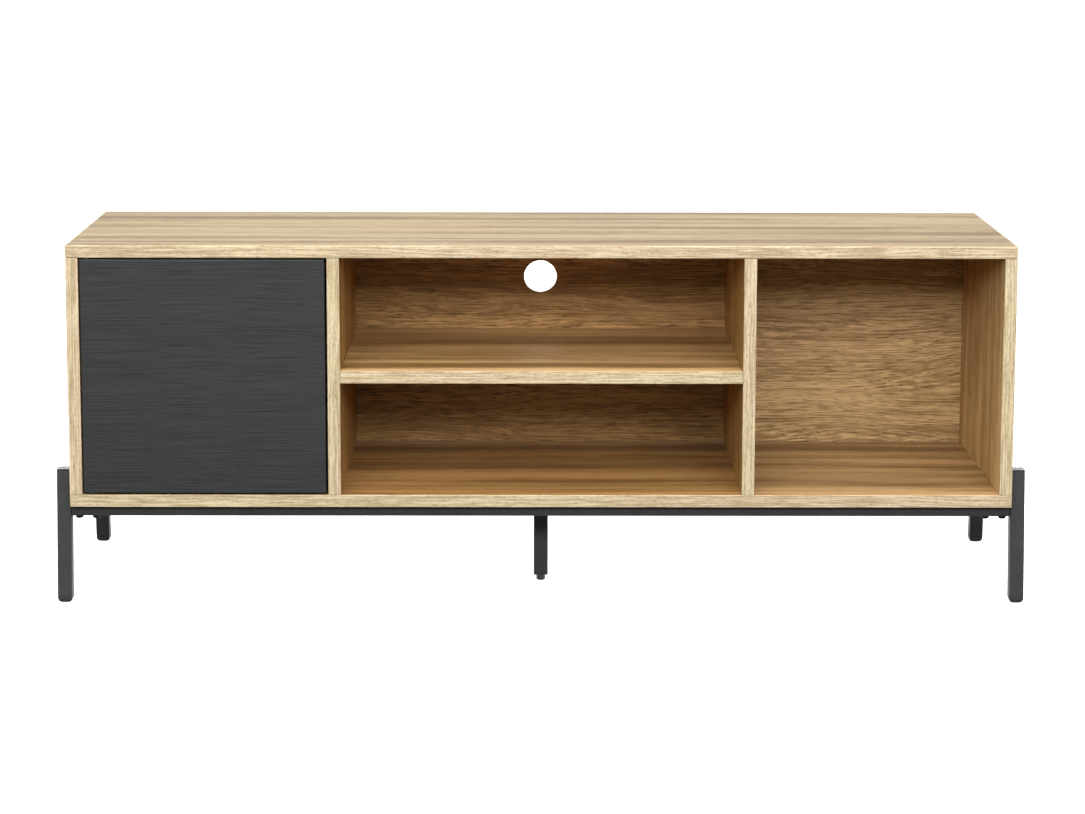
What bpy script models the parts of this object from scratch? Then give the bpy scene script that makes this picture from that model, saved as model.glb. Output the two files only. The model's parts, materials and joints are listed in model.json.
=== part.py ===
"""A low TV stand: an oak-decor cabinet with one charcoal door, on a frame of square steel tube.

Sizes are in metres. X runs to the right, Y to the back and Z up. The floor is at Z = 0, and the
origin lies on it under the middle of the stand.
"""

import math

import bmesh
import bpy
from mathutils import Matrix, Vector

# Overall sizes
OVERALL_WIDTH = 1.400  # over the outer faces of the legs
DEPTH = 0.400  # of the cabinet, and over the feet
UNDERSIDE = 0.142  # floor to the underside of the cabinet
BAY_HEIGHT = 0.344  # clear height inside the cabinet
SIDE_BAY = 0.354  # clear width of the left and of the right bay

# Boards
BOARD = 0.018
BACK_THICKNESS = 0.012
BACK_RECESS = 0.002  # from the rear edges to the back panel
BOARD_ARRIS = 0.0006
TOP_ARRIS = 0.0012
CABLE_HOLE_RADIUS = 0.025

# Fits
TOUCH = 0.0003  # gap kept between two faces that rest on each other
HOLE_END = 0.001  # room past the end of a pin, screw or bolt in its blind hole

# Door
DOOR_THICKNESS = 0.018
DOOR_HINGE_GAP = 0.002
DOOR_FREE_GAP = 0.003
DOOR_END_GAP = 0.002  # above and below the door
DOOR_ARRIS = 0.001

# Door pivots
PIVOT_FROM_EDGE = 0.010  # hinge axis to the door's hinge-side edge
PIVOT_FROM_FACE = 0.006  # hinge axis to the door's front face
PIN_RADIUS = 0.002
PIN_IN_DOOR = 0.014
PIN_IN_BUSH = 0.006
BUSH_WALL = 0.0012
BUSH_FLANGE = 0.0014  # how far the flange stands out round the sleeve

# Push latch
LATCH_FROM_EDGE = 0.030  # plunger axis to the door's free edge
LATCH_DROP = 0.0125  # plunger axis to the underside of the top panel
LATCH_LENGTH = 0.060
LATCH_WIDTH = 0.016
LATCH_HEIGHT = 0.021
LATCH_EAR_WIDTH = 0.010
LATCH_EAR_THICKNESS = 0.003
LATCH_EAR_TAPER = 0.0005  # how much thinner an ear is at its tip
LATCH_REVEAL = 0.003  # magnet to the front of the housing with the door shut
PLUNGER_RADIUS = 0.004
PLUNGER_LENGTH = 0.045
MAGNET_RADIUS = 0.0048
MAGNET_LENGTH = 0.003
STRIKE_RADIUS = 0.008
STRIKE_THICKNESS = 0.0018

# Wood screws
SCREW_RADIUS = 0.0015
SCREW_LENGTH = 0.014
SCREW_POINT = 0.003
SCREW_HEAD_RADIUS = 0.0032
SCREW_HEAD_HEIGHT = 0.0022

# Legs
TUBE = 0.021  # outer width of the square leg tube
TUBE_WALL = 0.0015
TUBE_BEND = 0.0006  # inner radius of every tube's corners
LEG_HEIGHT = 0.194
LEG_SPLAY = math.radians(5.0)  # the feet stand out to the front and to the back
GLIDE_HEIGHT = 0.009
GLIDE_ROUND = 0.0035
CAP_THICKNESS = 0.0022
CAP_ROUND = 0.0009
PLUG_LENGTH = 0.014  # of a cap or a glide, inside the tube
PLUG_ROUND = 0.0015

# Rails and cross bars
RAIL = 0.016  # outer width of the square rail tube
RAIL_WALL = 0.0015
TONGUE_LENGTH = 0.052
TONGUE_THICKNESS = 0.006
TONGUE_ARRIS = 0.0006
OUTER_BOLT = 0.010  # from the rail's end
INNER_BOLT = 0.0345
BOLT_RADIUS = 0.003
BOLT_HEAD_RADIUS = 0.0057
BOLT_HEAD_HEIGHT = 0.0040
BOLT_TIP = 0.0006
BOLT_PAST_TONGUE = 0.003
INSERT_LENGTH = 0.012
INSERT_WALL = 0.0015

# Centre leg
CENTRE_LEG_SETBACK = 0.140  # front of the cabinet to the middle of the tube
CENTRE_TUBE_BOTTOM = 0.011
PLATE_WIDTH = 0.066
PLATE_DEPTH = 0.040
PLATE_THICKNESS = 0.003
PLATE_CORNER = 0.004
PLATE_SCREW_SPACING = 0.046
CENTRE_PLUG_LIP = 0.0015
FOOT_RADIUS = 0.0067
FOOT_ROUND = 0.0026
STEM_RADIUS = 0.004
STEM_LENGTH = 0.030

# Facets
CORNER_STEPS = 3
BORE_SEGMENTS = 24
CABLE_HOLE_SEGMENTS = 64
TURNED_SEGMENTS = 20
MERGE = 0.00001  # points nearer than this are one

# Derived places
SPLAY_SLOPE = math.tan(LEG_SPLAY)
CABINET_HALF = OVERALL_WIDTH / 2 - TUBE - TOUCH
FRONT = -DEPTH / 2
REAR = DEPTH / 2
INNER_HALF = CABINET_HALF - BOARD
FLOOR_TOP = UNDERSIDE + BOARD
CEILING = FLOOR_TOP + BAY_HEIGHT
TOP = CEILING + BOARD
BACK_FACE = REAR - BACK_RECESS - BACK_THICKNESS
DIVIDER_INNER = INNER_HALF - SIDE_BAY - BOARD  # half the clear width of the middle bay
SHELF_BOTTOM = (FLOOR_TOP + CEILING - BOARD) / 2
DOOR_LEFT = -INNER_HALF + DOOR_HINGE_GAP
DOOR_RIGHT = -INNER_HALF + SIDE_BAY - DOOR_FREE_GAP
DOOR_BACK = FRONT + DOOR_THICKNESS
DOOR_BOTTOM = FLOOR_TOP + DOOR_END_GAP
DOOR_TOP = CEILING - DOOR_END_GAP
HINGE = Vector((DOOR_LEFT + PIVOT_FROM_EDGE, FRONT + PIVOT_FROM_FACE, 0.0))
PIN_BORE = PIN_RADIUS + TOUCH
BUSH_RADIUS = PIN_BORE + BUSH_WALL
BUSH_FLANGE_THICKNESS = DOOR_END_GAP - 2 * TOUCH
BUSH_LENGTH = PIN_IN_BUSH + HOLE_END
LATCH_X = DOOR_RIGHT - LATCH_FROM_EDGE
LATCH_Z = CEILING - LATCH_DROP
MAGNET_FRONT = DOOR_BACK + TOUCH + STRIKE_THICKNESS + TOUCH
PLUNGER_FRONT = MAGNET_FRONT + MAGNET_LENGTH + TOUCH
LATCH_FRONT = MAGNET_FRONT + MAGNET_LENGTH + LATCH_REVEAL
SCREW_BORE = SCREW_RADIUS + TOUCH
LEG_X = OVERALL_WIDTH / 2 - TUBE / 2
LEG_Y = DEPTH / 2 - TUBE / 2  # of the leg's middle at the floor
RAIL_TOP = UNDERSIDE - TOUCH
RAIL_BOTTOM = RAIL_TOP - RAIL
RAIL_MIDDLE = RAIL_TOP - RAIL / 2
RAIL_Y = LEG_Y - RAIL_MIDDLE * SPLAY_SLOPE
BOLT_BORE = BOLT_RADIUS + TOUCH
TONGUE_BOTTOM = RAIL_BOTTOM + RAIL_WALL + TOUCH
INSERT_RADIUS = BOLT_BORE + INSERT_WALL
CENTRE_LEG_Y = FRONT + CENTRE_LEG_SETBACK
PLATE_TOP = UNDERSIDE - TOUCH
PLATE_BOTTOM = PLATE_TOP - PLATE_THICKNESS
FOOT_HEIGHT = CENTRE_TUBE_BOTTOM - CENTRE_PLUG_LIP - TOUCH

SIDES = (("left", -1), ("right", 1))
ENDS = (("front", -1), ("rear", 1))

ALONG_X = Matrix.Rotation(math.radians(90), 4, "Y")
ALONG_Y = Matrix.Rotation(math.radians(90), 4, "X")
FACING_FRONT = (math.radians(90), 0.0, 0.0)
FACING_BACK = (math.radians(-90), 0.0, 0.0)
POINTING_UP = (0.0, 0.0, 0.0)
POINTING_DOWN = (math.radians(180), 0.0, 0.0)


def clear_scene():
    for obj in list(bpy.data.objects):
        bpy.data.objects.remove(obj)


def new_collection(name):
    collection = bpy.data.collections.new(name)
    bpy.context.scene.collection.children.link(collection)
    return collection


def new_material(name, colour, roughness, metallic=0.0):
    material = bpy.data.materials.new(name)
    material.use_nodes = True
    shader = material.node_tree.nodes["Principled BSDF"]
    shader.inputs["Base Color"].default_value = (*colour, 1.0)
    shader.inputs["Roughness"].default_value = roughness
    shader.inputs["Metallic"].default_value = metallic
    return material


clear_scene()
PARTS = new_collection("tv_stand")
CUTTERS = new_collection("cutters")
OAK = new_material("oak_decor", (0.56, 0.40, 0.23), 0.5)
CHARCOAL = new_material("charcoal_foil", (0.055, 0.056, 0.058), 0.55)
POWDER_COAT = new_material("graphite_powder_coat", (0.06, 0.062, 0.064), 0.45, 0.4)
BLACK_STEEL = new_material("black_steel", (0.03, 0.03, 0.032), 0.4, 0.8)
ZINC = new_material("zinc_steel", (0.62, 0.63, 0.65), 0.35, 1.0)
BLACK_PLASTIC = new_material("black_plastic", (0.02, 0.02, 0.021), 0.5)
NYLON = new_material("white_nylon", (0.8, 0.8, 0.78), 0.45)


def add_part(name, mesh, material, location=(0.0, 0.0, 0.0), parent=None):
    """Put a mesh in the stand at a world location, under its parent empty if it moves with one."""
    obj = bpy.data.objects.new(name, mesh)
    obj.data.materials.append(material)
    PARTS.objects.link(obj)
    obj.location = Vector(location)
    if parent is not None:
        obj.parent = parent
        obj.location = Vector(location) - parent.location
    return obj


def add_pivot(name, location):
    pivot = bpy.data.objects.new(name, None)
    pivot.location = location
    PARTS.objects.link(pivot)
    return pivot


def mesh_from(bm, name):
    mesh = bpy.data.meshes.new(name)
    bm.to_mesh(mesh)
    bm.free()
    return mesh


def smooth(obj, angle=math.radians(35)):
    obj.data.shade_smooth()
    obj.data.set_sharp_from_angle(angle=angle)


def round_edges(obj, width, segments=2):
    bevel = obj.modifiers.new("rounded_edges", "BEVEL")
    bevel.width = width
    bevel.segments = segments
    bevel.limit_method = "ANGLE"


def box_mesh(name, size):
    """A box of this size, centred on its own origin."""
    bm = bmesh.new()
    bmesh.ops.create_cube(bm, size=1.0, matrix=Matrix.Diagonal((*size, 1.0)))
    return mesh_from(bm, name)


def board(name, low, high, material, arris, parent=None):
    """A flat panel between two corners, with its edges taken off."""
    low, high = Vector(low), Vector(high)
    obj = add_part(name, box_mesh(name, high - low), material, (low + high) / 2, parent)
    round_edges(obj, arris)
    return obj


def turned(name, profile, material, location, rotation=POINTING_UP, ring=False, parent=None):
    """A turned piece. The profile's (radius, height) points run down its outer side."""
    bm = bmesh.new()
    verts = [bm.verts.new((radius, 0.0, height)) for radius, height in profile]
    pairs = list(zip(verts, verts[1:]))
    if ring:
        pairs.append((verts[-1], verts[0]))
    for pair in pairs:
        bm.edges.new(pair)
    obj = add_part(name, mesh_from(bm, name), material, location, parent)
    obj.rotation_euler = rotation
    screw = obj.modifiers.new("turned", "SCREW")
    screw.axis = "Z"
    screw.steps = TURNED_SEGMENTS
    screw.render_steps = TURNED_SEGMENTS
    screw.use_merge_vertices = True
    screw.merge_threshold = MERGE
    return obj


def bore(target, name, radius, centre, length, rotation=POINTING_UP, segments=BORE_SEGMENTS):
    """Cut a round hole of this length, centred at a world point, along the rotated Z axis."""
    bm = bmesh.new()
    bmesh.ops.create_cone(
        bm, cap_ends=True, segments=segments, radius1=radius, radius2=radius, depth=length
    )
    cutter = bpy.data.objects.new(name, mesh_from(bm, name))
    CUTTERS.objects.link(cutter)
    cutter.location = centre
    cutter.rotation_euler = rotation
    cutter.hide_render = True
    cutter.display_type = "WIRE"
    boolean = target.modifiers.new(name, "BOOLEAN")
    boolean.operation = "DIFFERENCE"
    boolean.object = cutter


def rounded_square(size_x, size_y, radius):
    """Outline points of a rectangle with round corners, counter-clockwise."""
    points = []
    corners = ((1, 1, 0), (-1, 1, 90), (-1, -1, 180), (1, -1, 270))
    for sign_x, sign_y, start in corners:
        centre_x = sign_x * (size_x / 2 - radius)
        centre_y = sign_y * (size_y / 2 - radius)
        for step in range(CORNER_STEPS + 1):
            angle = math.radians(start + 90 * step / CORNER_STEPS)
            points.append((centre_x + radius * math.cos(angle), centre_y + radius * math.sin(angle)))
    return points


def extruded(name, outlines, length):
    """A mesh of flat outlines, the inner ones as holes, extruded this far along Z about the origin."""
    curve = bpy.data.curves.new(name, "CURVE")
    curve.dimensions = "2D"
    curve.fill_mode = "BOTH"
    curve.extrude = length / 2
    for outline in outlines:
        spline = curve.splines.new("POLY")
        spline.points.add(len(outline) - 1)
        for point, (x, y) in zip(spline.points, outline):
            point.co = (x, y, 0.0, 1.0)
        spline.use_cyclic_u = True
    guide = bpy.data.objects.new(name + "_outline", curve)
    PARTS.objects.link(guide)
    graph = bpy.context.evaluated_depsgraph_get()
    mesh = bpy.data.meshes.new_from_object(guide.evaluated_get(graph))
    bpy.data.objects.remove(guide)
    bm = bmesh.new()
    bm.from_mesh(mesh)
    bmesh.ops.remove_doubles(bm, verts=bm.verts, dist=MERGE)
    bmesh.ops.recalc_face_normals(bm, faces=bm.faces)
    bm.to_mesh(mesh)
    bm.free()
    mesh.name = name
    return mesh


def square_tube(name, size, wall, length):
    """A square tube along Z, centred on its own origin and open at both ends."""
    inner = size - 2 * wall
    outlines = [
        rounded_square(size, size, TUBE_BEND + wall),
        rounded_square(inner, inner, TUBE_BEND),
    ]
    return extruded(name, outlines, length)


def lean(obj, end):
    """Lean a piece of a leg, so that it comes nearer the stand's middle the higher it is."""
    slope = -end * SPLAY_SLOPE
    shear = Matrix.Identity(4)
    shear[1][2] = slope
    obj.data.transform(shear)
    obj.location.y += slope * obj.location.z


def build_cabinet():
    """The fixed boards. Each butt joint keeps the touching gap."""
    half = CABINET_HALF
    board("top_panel", (-half, FRONT, CEILING), (half, REAR, TOP), OAK, TOP_ARRIS)
    bottom = board(
        "bottom_panel", (-half, FRONT, UNDERSIDE), (half, REAR, FLOOR_TOP), OAK, BOARD_ARRIS
    )
    low_z = FLOOR_TOP + TOUCH
    high_z = CEILING - TOUCH
    for side, sign in SIDES:
        outer = sorted((sign * half, sign * INNER_HALF))
        board(
            f"{side}_side_panel", (outer[0], FRONT, low_z), (outer[1], REAR, high_z), OAK, BOARD_ARRIS
        )
        inner = sorted((sign * DIVIDER_INNER, sign * (DIVIDER_INNER + BOARD)))
        board(
            f"{side}_divider",
            (inner[0], FRONT, low_z),
            (inner[1], BACK_FACE - TOUCH, high_z),
            OAK,
            BOARD_ARRIS,
        )
    shelf_half = DIVIDER_INNER - TOUCH
    board(
        "middle_shelf",
        (-shelf_half, FRONT, SHELF_BOTTOM),
        (shelf_half, BACK_FACE - TOUCH, SHELF_BOTTOM + BOARD),
        OAK,
        BOARD_ARRIS,
    )
    back_half = INNER_HALF - TOUCH
    back = board(
        "back_panel",
        (-back_half, BACK_FACE, low_z),
        (back_half, REAR - BACK_RECESS, high_z),
        OAK,
        BOARD_ARRIS,
    )
    upper_middle = (SHELF_BOTTOM + BOARD + CEILING) / 2
    bore(
        back,
        "cable_hole",
        CABLE_HOLE_RADIUS,
        (0.0, BACK_FACE + BACK_THICKNESS / 2, upper_middle),
        2 * BACK_THICKNESS,
        FACING_FRONT,
        CABLE_HOLE_SEGMENTS,
    )
    return bottom


def build_door(hinge):
    """The door panel and its two pivot pins, all under the empty on the hinge axis."""
    door = board(
        "door_panel",
        (DOOR_LEFT, FRONT, DOOR_BOTTOM),
        (DOOR_RIGHT, DOOR_BACK, DOOR_TOP),
        CHARCOAL,
        DOOR_ARRIS,
        hinge,
    )
    pin_length = PIN_IN_DOOR + DOOR_END_GAP + PIN_IN_BUSH
    chamfer = PIN_RADIUS / 4
    pin_profile = (
        (0.0, pin_length),
        (PIN_RADIUS - chamfer, pin_length),
        (PIN_RADIUS, pin_length - chamfer),
        (PIN_RADIUS, chamfer),
        (PIN_RADIUS - chamfer, 0.0),
        (0.0, 0.0),
    )
    for name, edge, direction in (("upper", DOOR_TOP, 1), ("lower", DOOR_BOTTOM, -1)):
        seat = HINGE + Vector((0.0, 0.0, edge - direction * PIN_IN_DOOR))
        rotation = POINTING_UP if direction > 0 else POINTING_DOWN
        turned(f"{name}_pivot_pin", pin_profile, ZINC, seat, rotation, parent=hinge)
        hole_depth = PIN_IN_DOOR + TOUCH
        hole_centre = HINGE + Vector((0.0, 0.0, edge))
        bore(door, f"{name}_pin_hole", PIN_BORE, hole_centre, 2 * hole_depth)
    return door


def build_pivot_bushes():
    """A flanged plastic bush in the top panel and in the bottom panel, for the door's pins."""
    flange_radius = BUSH_RADIUS + BUSH_FLANGE
    profile = (
        (flange_radius, 0.0),
        (flange_radius, -BUSH_FLANGE_THICKNESS),
        (BUSH_RADIUS, -BUSH_FLANGE_THICKNESS - TOUCH),
        (BUSH_RADIUS, -BUSH_FLANGE_THICKNESS - BUSH_LENGTH),
        (PIN_BORE, -BUSH_FLANGE_THICKNESS - BUSH_LENGTH),
        (PIN_BORE, 0.0),
    )
    hole_depth = BUSH_LENGTH + TOUCH + HOLE_END
    for name, panel, face, rotation, up in (
        ("upper", "top_panel", CEILING, POINTING_DOWN, -1),
        ("lower", "bottom_panel", FLOOR_TOP, POINTING_UP, 1),
    ):
        mouth = face + up * (TOUCH + BUSH_FLANGE_THICKNESS)
        seat = HINGE + Vector((0.0, 0.0, mouth))
        turned(f"{name}_pivot_bush", profile, BLACK_PLASTIC, seat, rotation, ring=True)
        bore(
            PARTS.objects[panel],
            f"{name}_bush_hole",
            BUSH_RADIUS + TOUCH,
            HINGE + Vector((0.0, 0.0, face)),
            2 * hole_depth,
        )


def pan_head(radius, height):
    """Profile points over the top of a pan head and down to its seat at zero."""
    points = [(0.0, height)]
    for step in range(CORNER_STEPS + 1):
        angle = math.radians(90 * step / CORNER_STEPS)
        across = radius - height / 2 + height / 2 * math.sin(angle)
        points.append((across, height / 2 + height / 2 * math.cos(angle)))
    points.append((radius, 0.0))
    return points


def wood_screw(name, head, rotation, target, parent=None, countersunk=False):
    """A screw with its head's seat at a point, and its pilot hole in the piece it holds."""
    cone = SCREW_HEAD_RADIUS - SCREW_RADIUS
    if countersunk:
        head_points = [(0.0, 0.0), (SCREW_HEAD_RADIUS, 0.0), (SCREW_RADIUS, -cone)]
    else:
        head_points = pan_head(SCREW_HEAD_RADIUS, SCREW_HEAD_HEIGHT) + [(SCREW_RADIUS, 0.0)]
    shank = [
        (SCREW_RADIUS, SCREW_POINT - SCREW_LENGTH),
        (SCREW_RADIUS / 4, -SCREW_LENGTH),
        (0.0, -SCREW_LENGTH),
    ]
    turned(name, head_points + shank, ZINC, head, rotation, parent=parent)
    hole_length = 2 * (SCREW_LENGTH + HOLE_END)
    bore(target, name + "_hole", SCREW_BORE, head, hole_length, rotation)


def build_push_latch(door, hinge, plunger_axis):
    """The magnetic push latch under the top panel, and its strike plate on the door."""
    body_half = LATCH_WIDTH / 2
    ear_half = body_half + LATCH_EAR_WIDTH
    ear_tip = LATCH_EAR_TAPER - LATCH_EAR_THICKNESS
    hat = [
        (ear_half, 0.0),
        (-ear_half, 0.0),
        (-ear_half, ear_tip),
        (-body_half, -LATCH_EAR_THICKNESS),
        (-body_half, -LATCH_HEIGHT),
        (body_half, -LATCH_HEIGHT),
        (body_half, -LATCH_EAR_THICKNESS),
        (ear_half, ear_tip),
    ]
    mesh = extruded("latch_housing", [hat], LATCH_LENGTH)
    mesh.transform(ALONG_Y)
    middle_y = LATCH_FRONT + LATCH_LENGTH / 2
    housing = add_part(
        "latch_housing", mesh, BLACK_PLASTIC, (LATCH_X, middle_y, CEILING - TOUCH)
    )
    plunger_rear = PLUNGER_FRONT + PLUNGER_LENGTH
    bore_depth = plunger_rear + LATCH_REVEAL - LATCH_FRONT
    bore(
        housing,
        "plunger_bore",
        PLUNGER_RADIUS + TOUCH,
        (LATCH_X, LATCH_FRONT, LATCH_Z),
        2 * bore_depth,
        FACING_FRONT,
    )
    ear_middle = body_half + LATCH_EAR_WIDTH / 2
    ear_bottom = CEILING - TOUCH - LATCH_EAR_THICKNESS - TOUCH
    for side, sign in SIDES:
        head = (LATCH_X + sign * ear_middle, middle_y, ear_bottom)
        screw_name = f"latch_screw_{side}"
        wood_screw(screw_name, head, POINTING_DOWN, PARTS.objects["top_panel"])
        bore(housing, f"latch_ear_hole_{side}", SCREW_BORE, head, 4 * LATCH_EAR_THICKNESS)
    chamfer = PLUNGER_RADIUS / 8
    rod = (
        (0.0, 0.0),
        (PLUNGER_RADIUS - chamfer, 0.0),
        (PLUNGER_RADIUS, -chamfer),
        (PLUNGER_RADIUS, chamfer - PLUNGER_LENGTH),
        (PLUNGER_RADIUS - chamfer, -PLUNGER_LENGTH),
        (0.0, -PLUNGER_LENGTH),
    )
    rod_front = (LATCH_X, PLUNGER_FRONT, LATCH_Z)
    turned("latch_plunger", rod, NYLON, rod_front, FACING_FRONT, parent=plunger_axis)
    chamfer = MAGNET_RADIUS / 8
    magnet = (
        (0.0, 0.0),
        (MAGNET_RADIUS - chamfer, 0.0),
        (MAGNET_RADIUS, -chamfer),
        (MAGNET_RADIUS, -MAGNET_LENGTH),
        (0.0, -MAGNET_LENGTH),
    )
    magnet_front = (LATCH_X, MAGNET_FRONT, LATCH_Z)
    turned("latch_magnet", magnet, BLACK_STEEL, magnet_front, FACING_FRONT, parent=plunger_axis)
    strike_face = DOOR_BACK + TOUCH + STRIKE_THICKNESS
    sink = SCREW_HEAD_RADIUS - SCREW_RADIUS
    plate = (
        (STRIKE_RADIUS, 0.0),
        (STRIKE_RADIUS, -STRIKE_THICKNESS),
        (SCREW_BORE, -STRIKE_THICKNESS),
        (SCREW_BORE, -sink),
        (SCREW_HEAD_RADIUS + TOUCH, 0.0),
    )
    strike_at = (LATCH_X, strike_face, LATCH_Z)
    turned("strike_plate", plate, ZINC, strike_at, FACING_BACK, ring=True, parent=hinge)
    wood_screw("strike_plate_screw", strike_at, FACING_BACK, door, hinge, countersunk=True)


def end_piece(name, at, end, low, high, rounding, plug_up):
    """A moulded end for a leg tube: a rounded lid, one solid with the plug that fills the tube."""
    seam_z = high if plug_up > 0 else low
    far_z = low if plug_up > 0 else high
    bm = bmesh.new()
    bmesh.ops.create_cube(bm, size=1.0, matrix=Matrix.Diagonal((TUBE, TUBE, high - low, 1.0)))
    bmesh.ops.translate(bm, verts=bm.verts, vec=(0.0, 0.0, (low + high) / 2 - seam_z))
    lid_edges = [
        edge for edge in bm.edges if any(abs(v.co.z - far_z + seam_z) < TOUCH for v in edge.verts)
    ]
    seam = next(face for face in bm.faces if face.normal.z * plug_up > 0.5)
    bmesh.ops.inset_region(bm, faces=[seam], thickness=TUBE_WALL + TOUCH, use_even_offset=True)
    plug_verts = set(seam.verts)
    extruded_plug = bmesh.ops.extrude_discrete_faces(bm, faces=[seam])["faces"]
    plug_edges = [
        edge
        for edge in bm.edges
        if len(set(edge.verts) & plug_verts) == 1
        and len(set(edge.verts) & set(extruded_plug[0].verts)) == 1
    ]
    rise = Vector((0.0, 0.0, plug_up * PLUG_LENGTH))
    bmesh.ops.translate(bm, verts=extruded_plug[0].verts, vec=rise)
    for edges, offset in ((lid_edges, rounding), (plug_edges, PLUG_ROUND)):
        bmesh.ops.bevel(
            bm,
            geom=edges,
            offset=offset,
            offset_type="OFFSET",
            segments=CORNER_STEPS,
            profile=0.5,
            affect="EDGES",
        )
    bmesh.ops.recalc_face_normals(bm, faces=bm.faces)
    piece = add_part(name, mesh_from(bm, name), BLACK_PLASTIC, at + Vector((0.0, 0.0, seam_z)))
    lean(piece, end)
    smooth(piece)
    return piece


def build_leg(side, sign_x, end, sign_y):
    """One leg tube with its glide and its cap, all leaning alike."""
    at = Vector((sign_x * LEG_X, sign_y * LEG_Y, 0.0))
    low = GLIDE_HEIGHT + TOUCH
    high = LEG_HEIGHT - CAP_THICKNESS - TOUCH
    name = f"{end}_{side}_leg"
    tube = square_tube(name, TUBE, TUBE_WALL, high - low)
    leg = add_part(name, tube, POWDER_COAT, at + Vector((0.0, 0.0, (low + high) / 2)))
    lean(leg, sign_y)
    smooth(leg)
    end_piece(f"{end}_{side}_glide", at, sign_y, 0.0, GLIDE_HEIGHT, GLIDE_ROUND, 1)
    cap_bottom = LEG_HEIGHT - CAP_THICKNESS
    end_piece(f"{end}_{side}_cap", at, sign_y, cap_bottom, LEG_HEIGHT, CAP_ROUND, -1)


def build_cross_bar(side, sign_x):
    """The tube between a front and a rear leg. Its ends are cut to the legs' lean."""
    name = f"{side}_cross_bar"
    mesh = square_tube(name, RAIL, RAIL_WALL, DEPTH)
    mesh.transform(ALONG_Y)
    for vert in mesh.vertices:
        reach = LEG_Y - TUBE / 2 - TOUCH - (RAIL_MIDDLE + vert.co.z) * SPLAY_SLOPE
        vert.co.y = math.copysign(reach, vert.co.y)
    bar = add_part(name, mesh, POWDER_COAT, (sign_x * LEG_X, 0.0, RAIL_MIDDLE))
    smooth(bar)


def build_rail(end, sign_y, bottom_panel):
    """A rail under the cabinet, with a tongue, two bolts and a panel insert at each of its ends."""
    rail_y = sign_y * RAIL_Y
    name = f"{end}_rail"
    mesh = square_tube(name, RAIL, RAIL_WALL, 2 * CABINET_HALF)
    mesh.transform(ALONG_X)
    rail = add_part(name, mesh, POWDER_COAT, (0.0, rail_y, RAIL_MIDDLE))
    smooth(rail)
    seat = RAIL_BOTTOM - TOUCH
    outer_length = RAIL_WALL + TOUCH + TONGUE_THICKNESS + BOLT_PAST_TONGUE
    inner_length = UNDERSIDE + INSERT_LENGTH - seat
    wall_middle = RAIL_BOTTOM + RAIL_WALL / 2
    tongue_width = RAIL - 2 * RAIL_WALL - 2 * TOUCH
    for side, sign_x in SIDES:
        tongue_ends = sorted((sign_x * CABINET_HALF, sign_x * (CABINET_HALF - TONGUE_LENGTH)))
        tongue = board(
            f"{end}_{side}_tongue",
            (tongue_ends[0], rail_y - tongue_width / 2, TONGUE_BOTTOM),
            (tongue_ends[1], rail_y + tongue_width / 2, TONGUE_BOTTOM + TONGUE_THICKNESS),
            BLACK_STEEL,
            TONGUE_ARRIS,
        )
        for place, from_end, length in (
            ("outer", OUTER_BOLT, outer_length),
            ("inner", INNER_BOLT, inner_length),
        ):
            at = Vector((sign_x * (CABINET_HALF - from_end), rail_y, seat))
            label = f"{end}_{side}_{place}"
            hex_bolt(f"{label}_bolt", at, length)
            hole_at = Vector((at.x, at.y, wall_middle))
            rail_hole = 2 * RAIL if place == "inner" else 2 * RAIL_WALL
            bore(rail, f"{label}_rail_hole", BOLT_BORE, hole_at, rail_hole)
            bore(tongue, f"{label}_tongue_hole", BOLT_BORE, hole_at, 2 * RAIL)
        panel_insert(f"{end}_{side}_insert", at.x, rail_y, bottom_panel)


def hex_bolt(name, seat, length):
    """A bolt pointing up from its seat, with a low domed head under it."""
    shank = [
        (0.0, length),
        (BOLT_RADIUS - BOLT_TIP, length),
        (BOLT_RADIUS, length - BOLT_TIP),
        (BOLT_RADIUS, 0.0),
    ]
    dome = pan_head(BOLT_HEAD_RADIUS, BOLT_HEAD_HEIGHT)
    head = [(radius, -height) for radius, height in reversed(dome)]
    turned(name, shank + head, BLACK_STEEL, seat)


def panel_insert(name, x, y, panel):
    """A threaded steel insert, flush in the panel's underside."""
    profile = (
        (INSERT_RADIUS, INSERT_LENGTH),
        (INSERT_RADIUS, 0.0),
        (BOLT_BORE, 0.0),
        (BOLT_BORE, INSERT_LENGTH),
    )
    turned(name, profile, ZINC, (x, y, UNDERSIDE), ring=True)
    depth = INSERT_LENGTH + TOUCH + HOLE_END
    bore(panel, name + "_hole", INSERT_RADIUS + TOUCH, (x, y, UNDERSIDE), 2 * depth)


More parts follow.
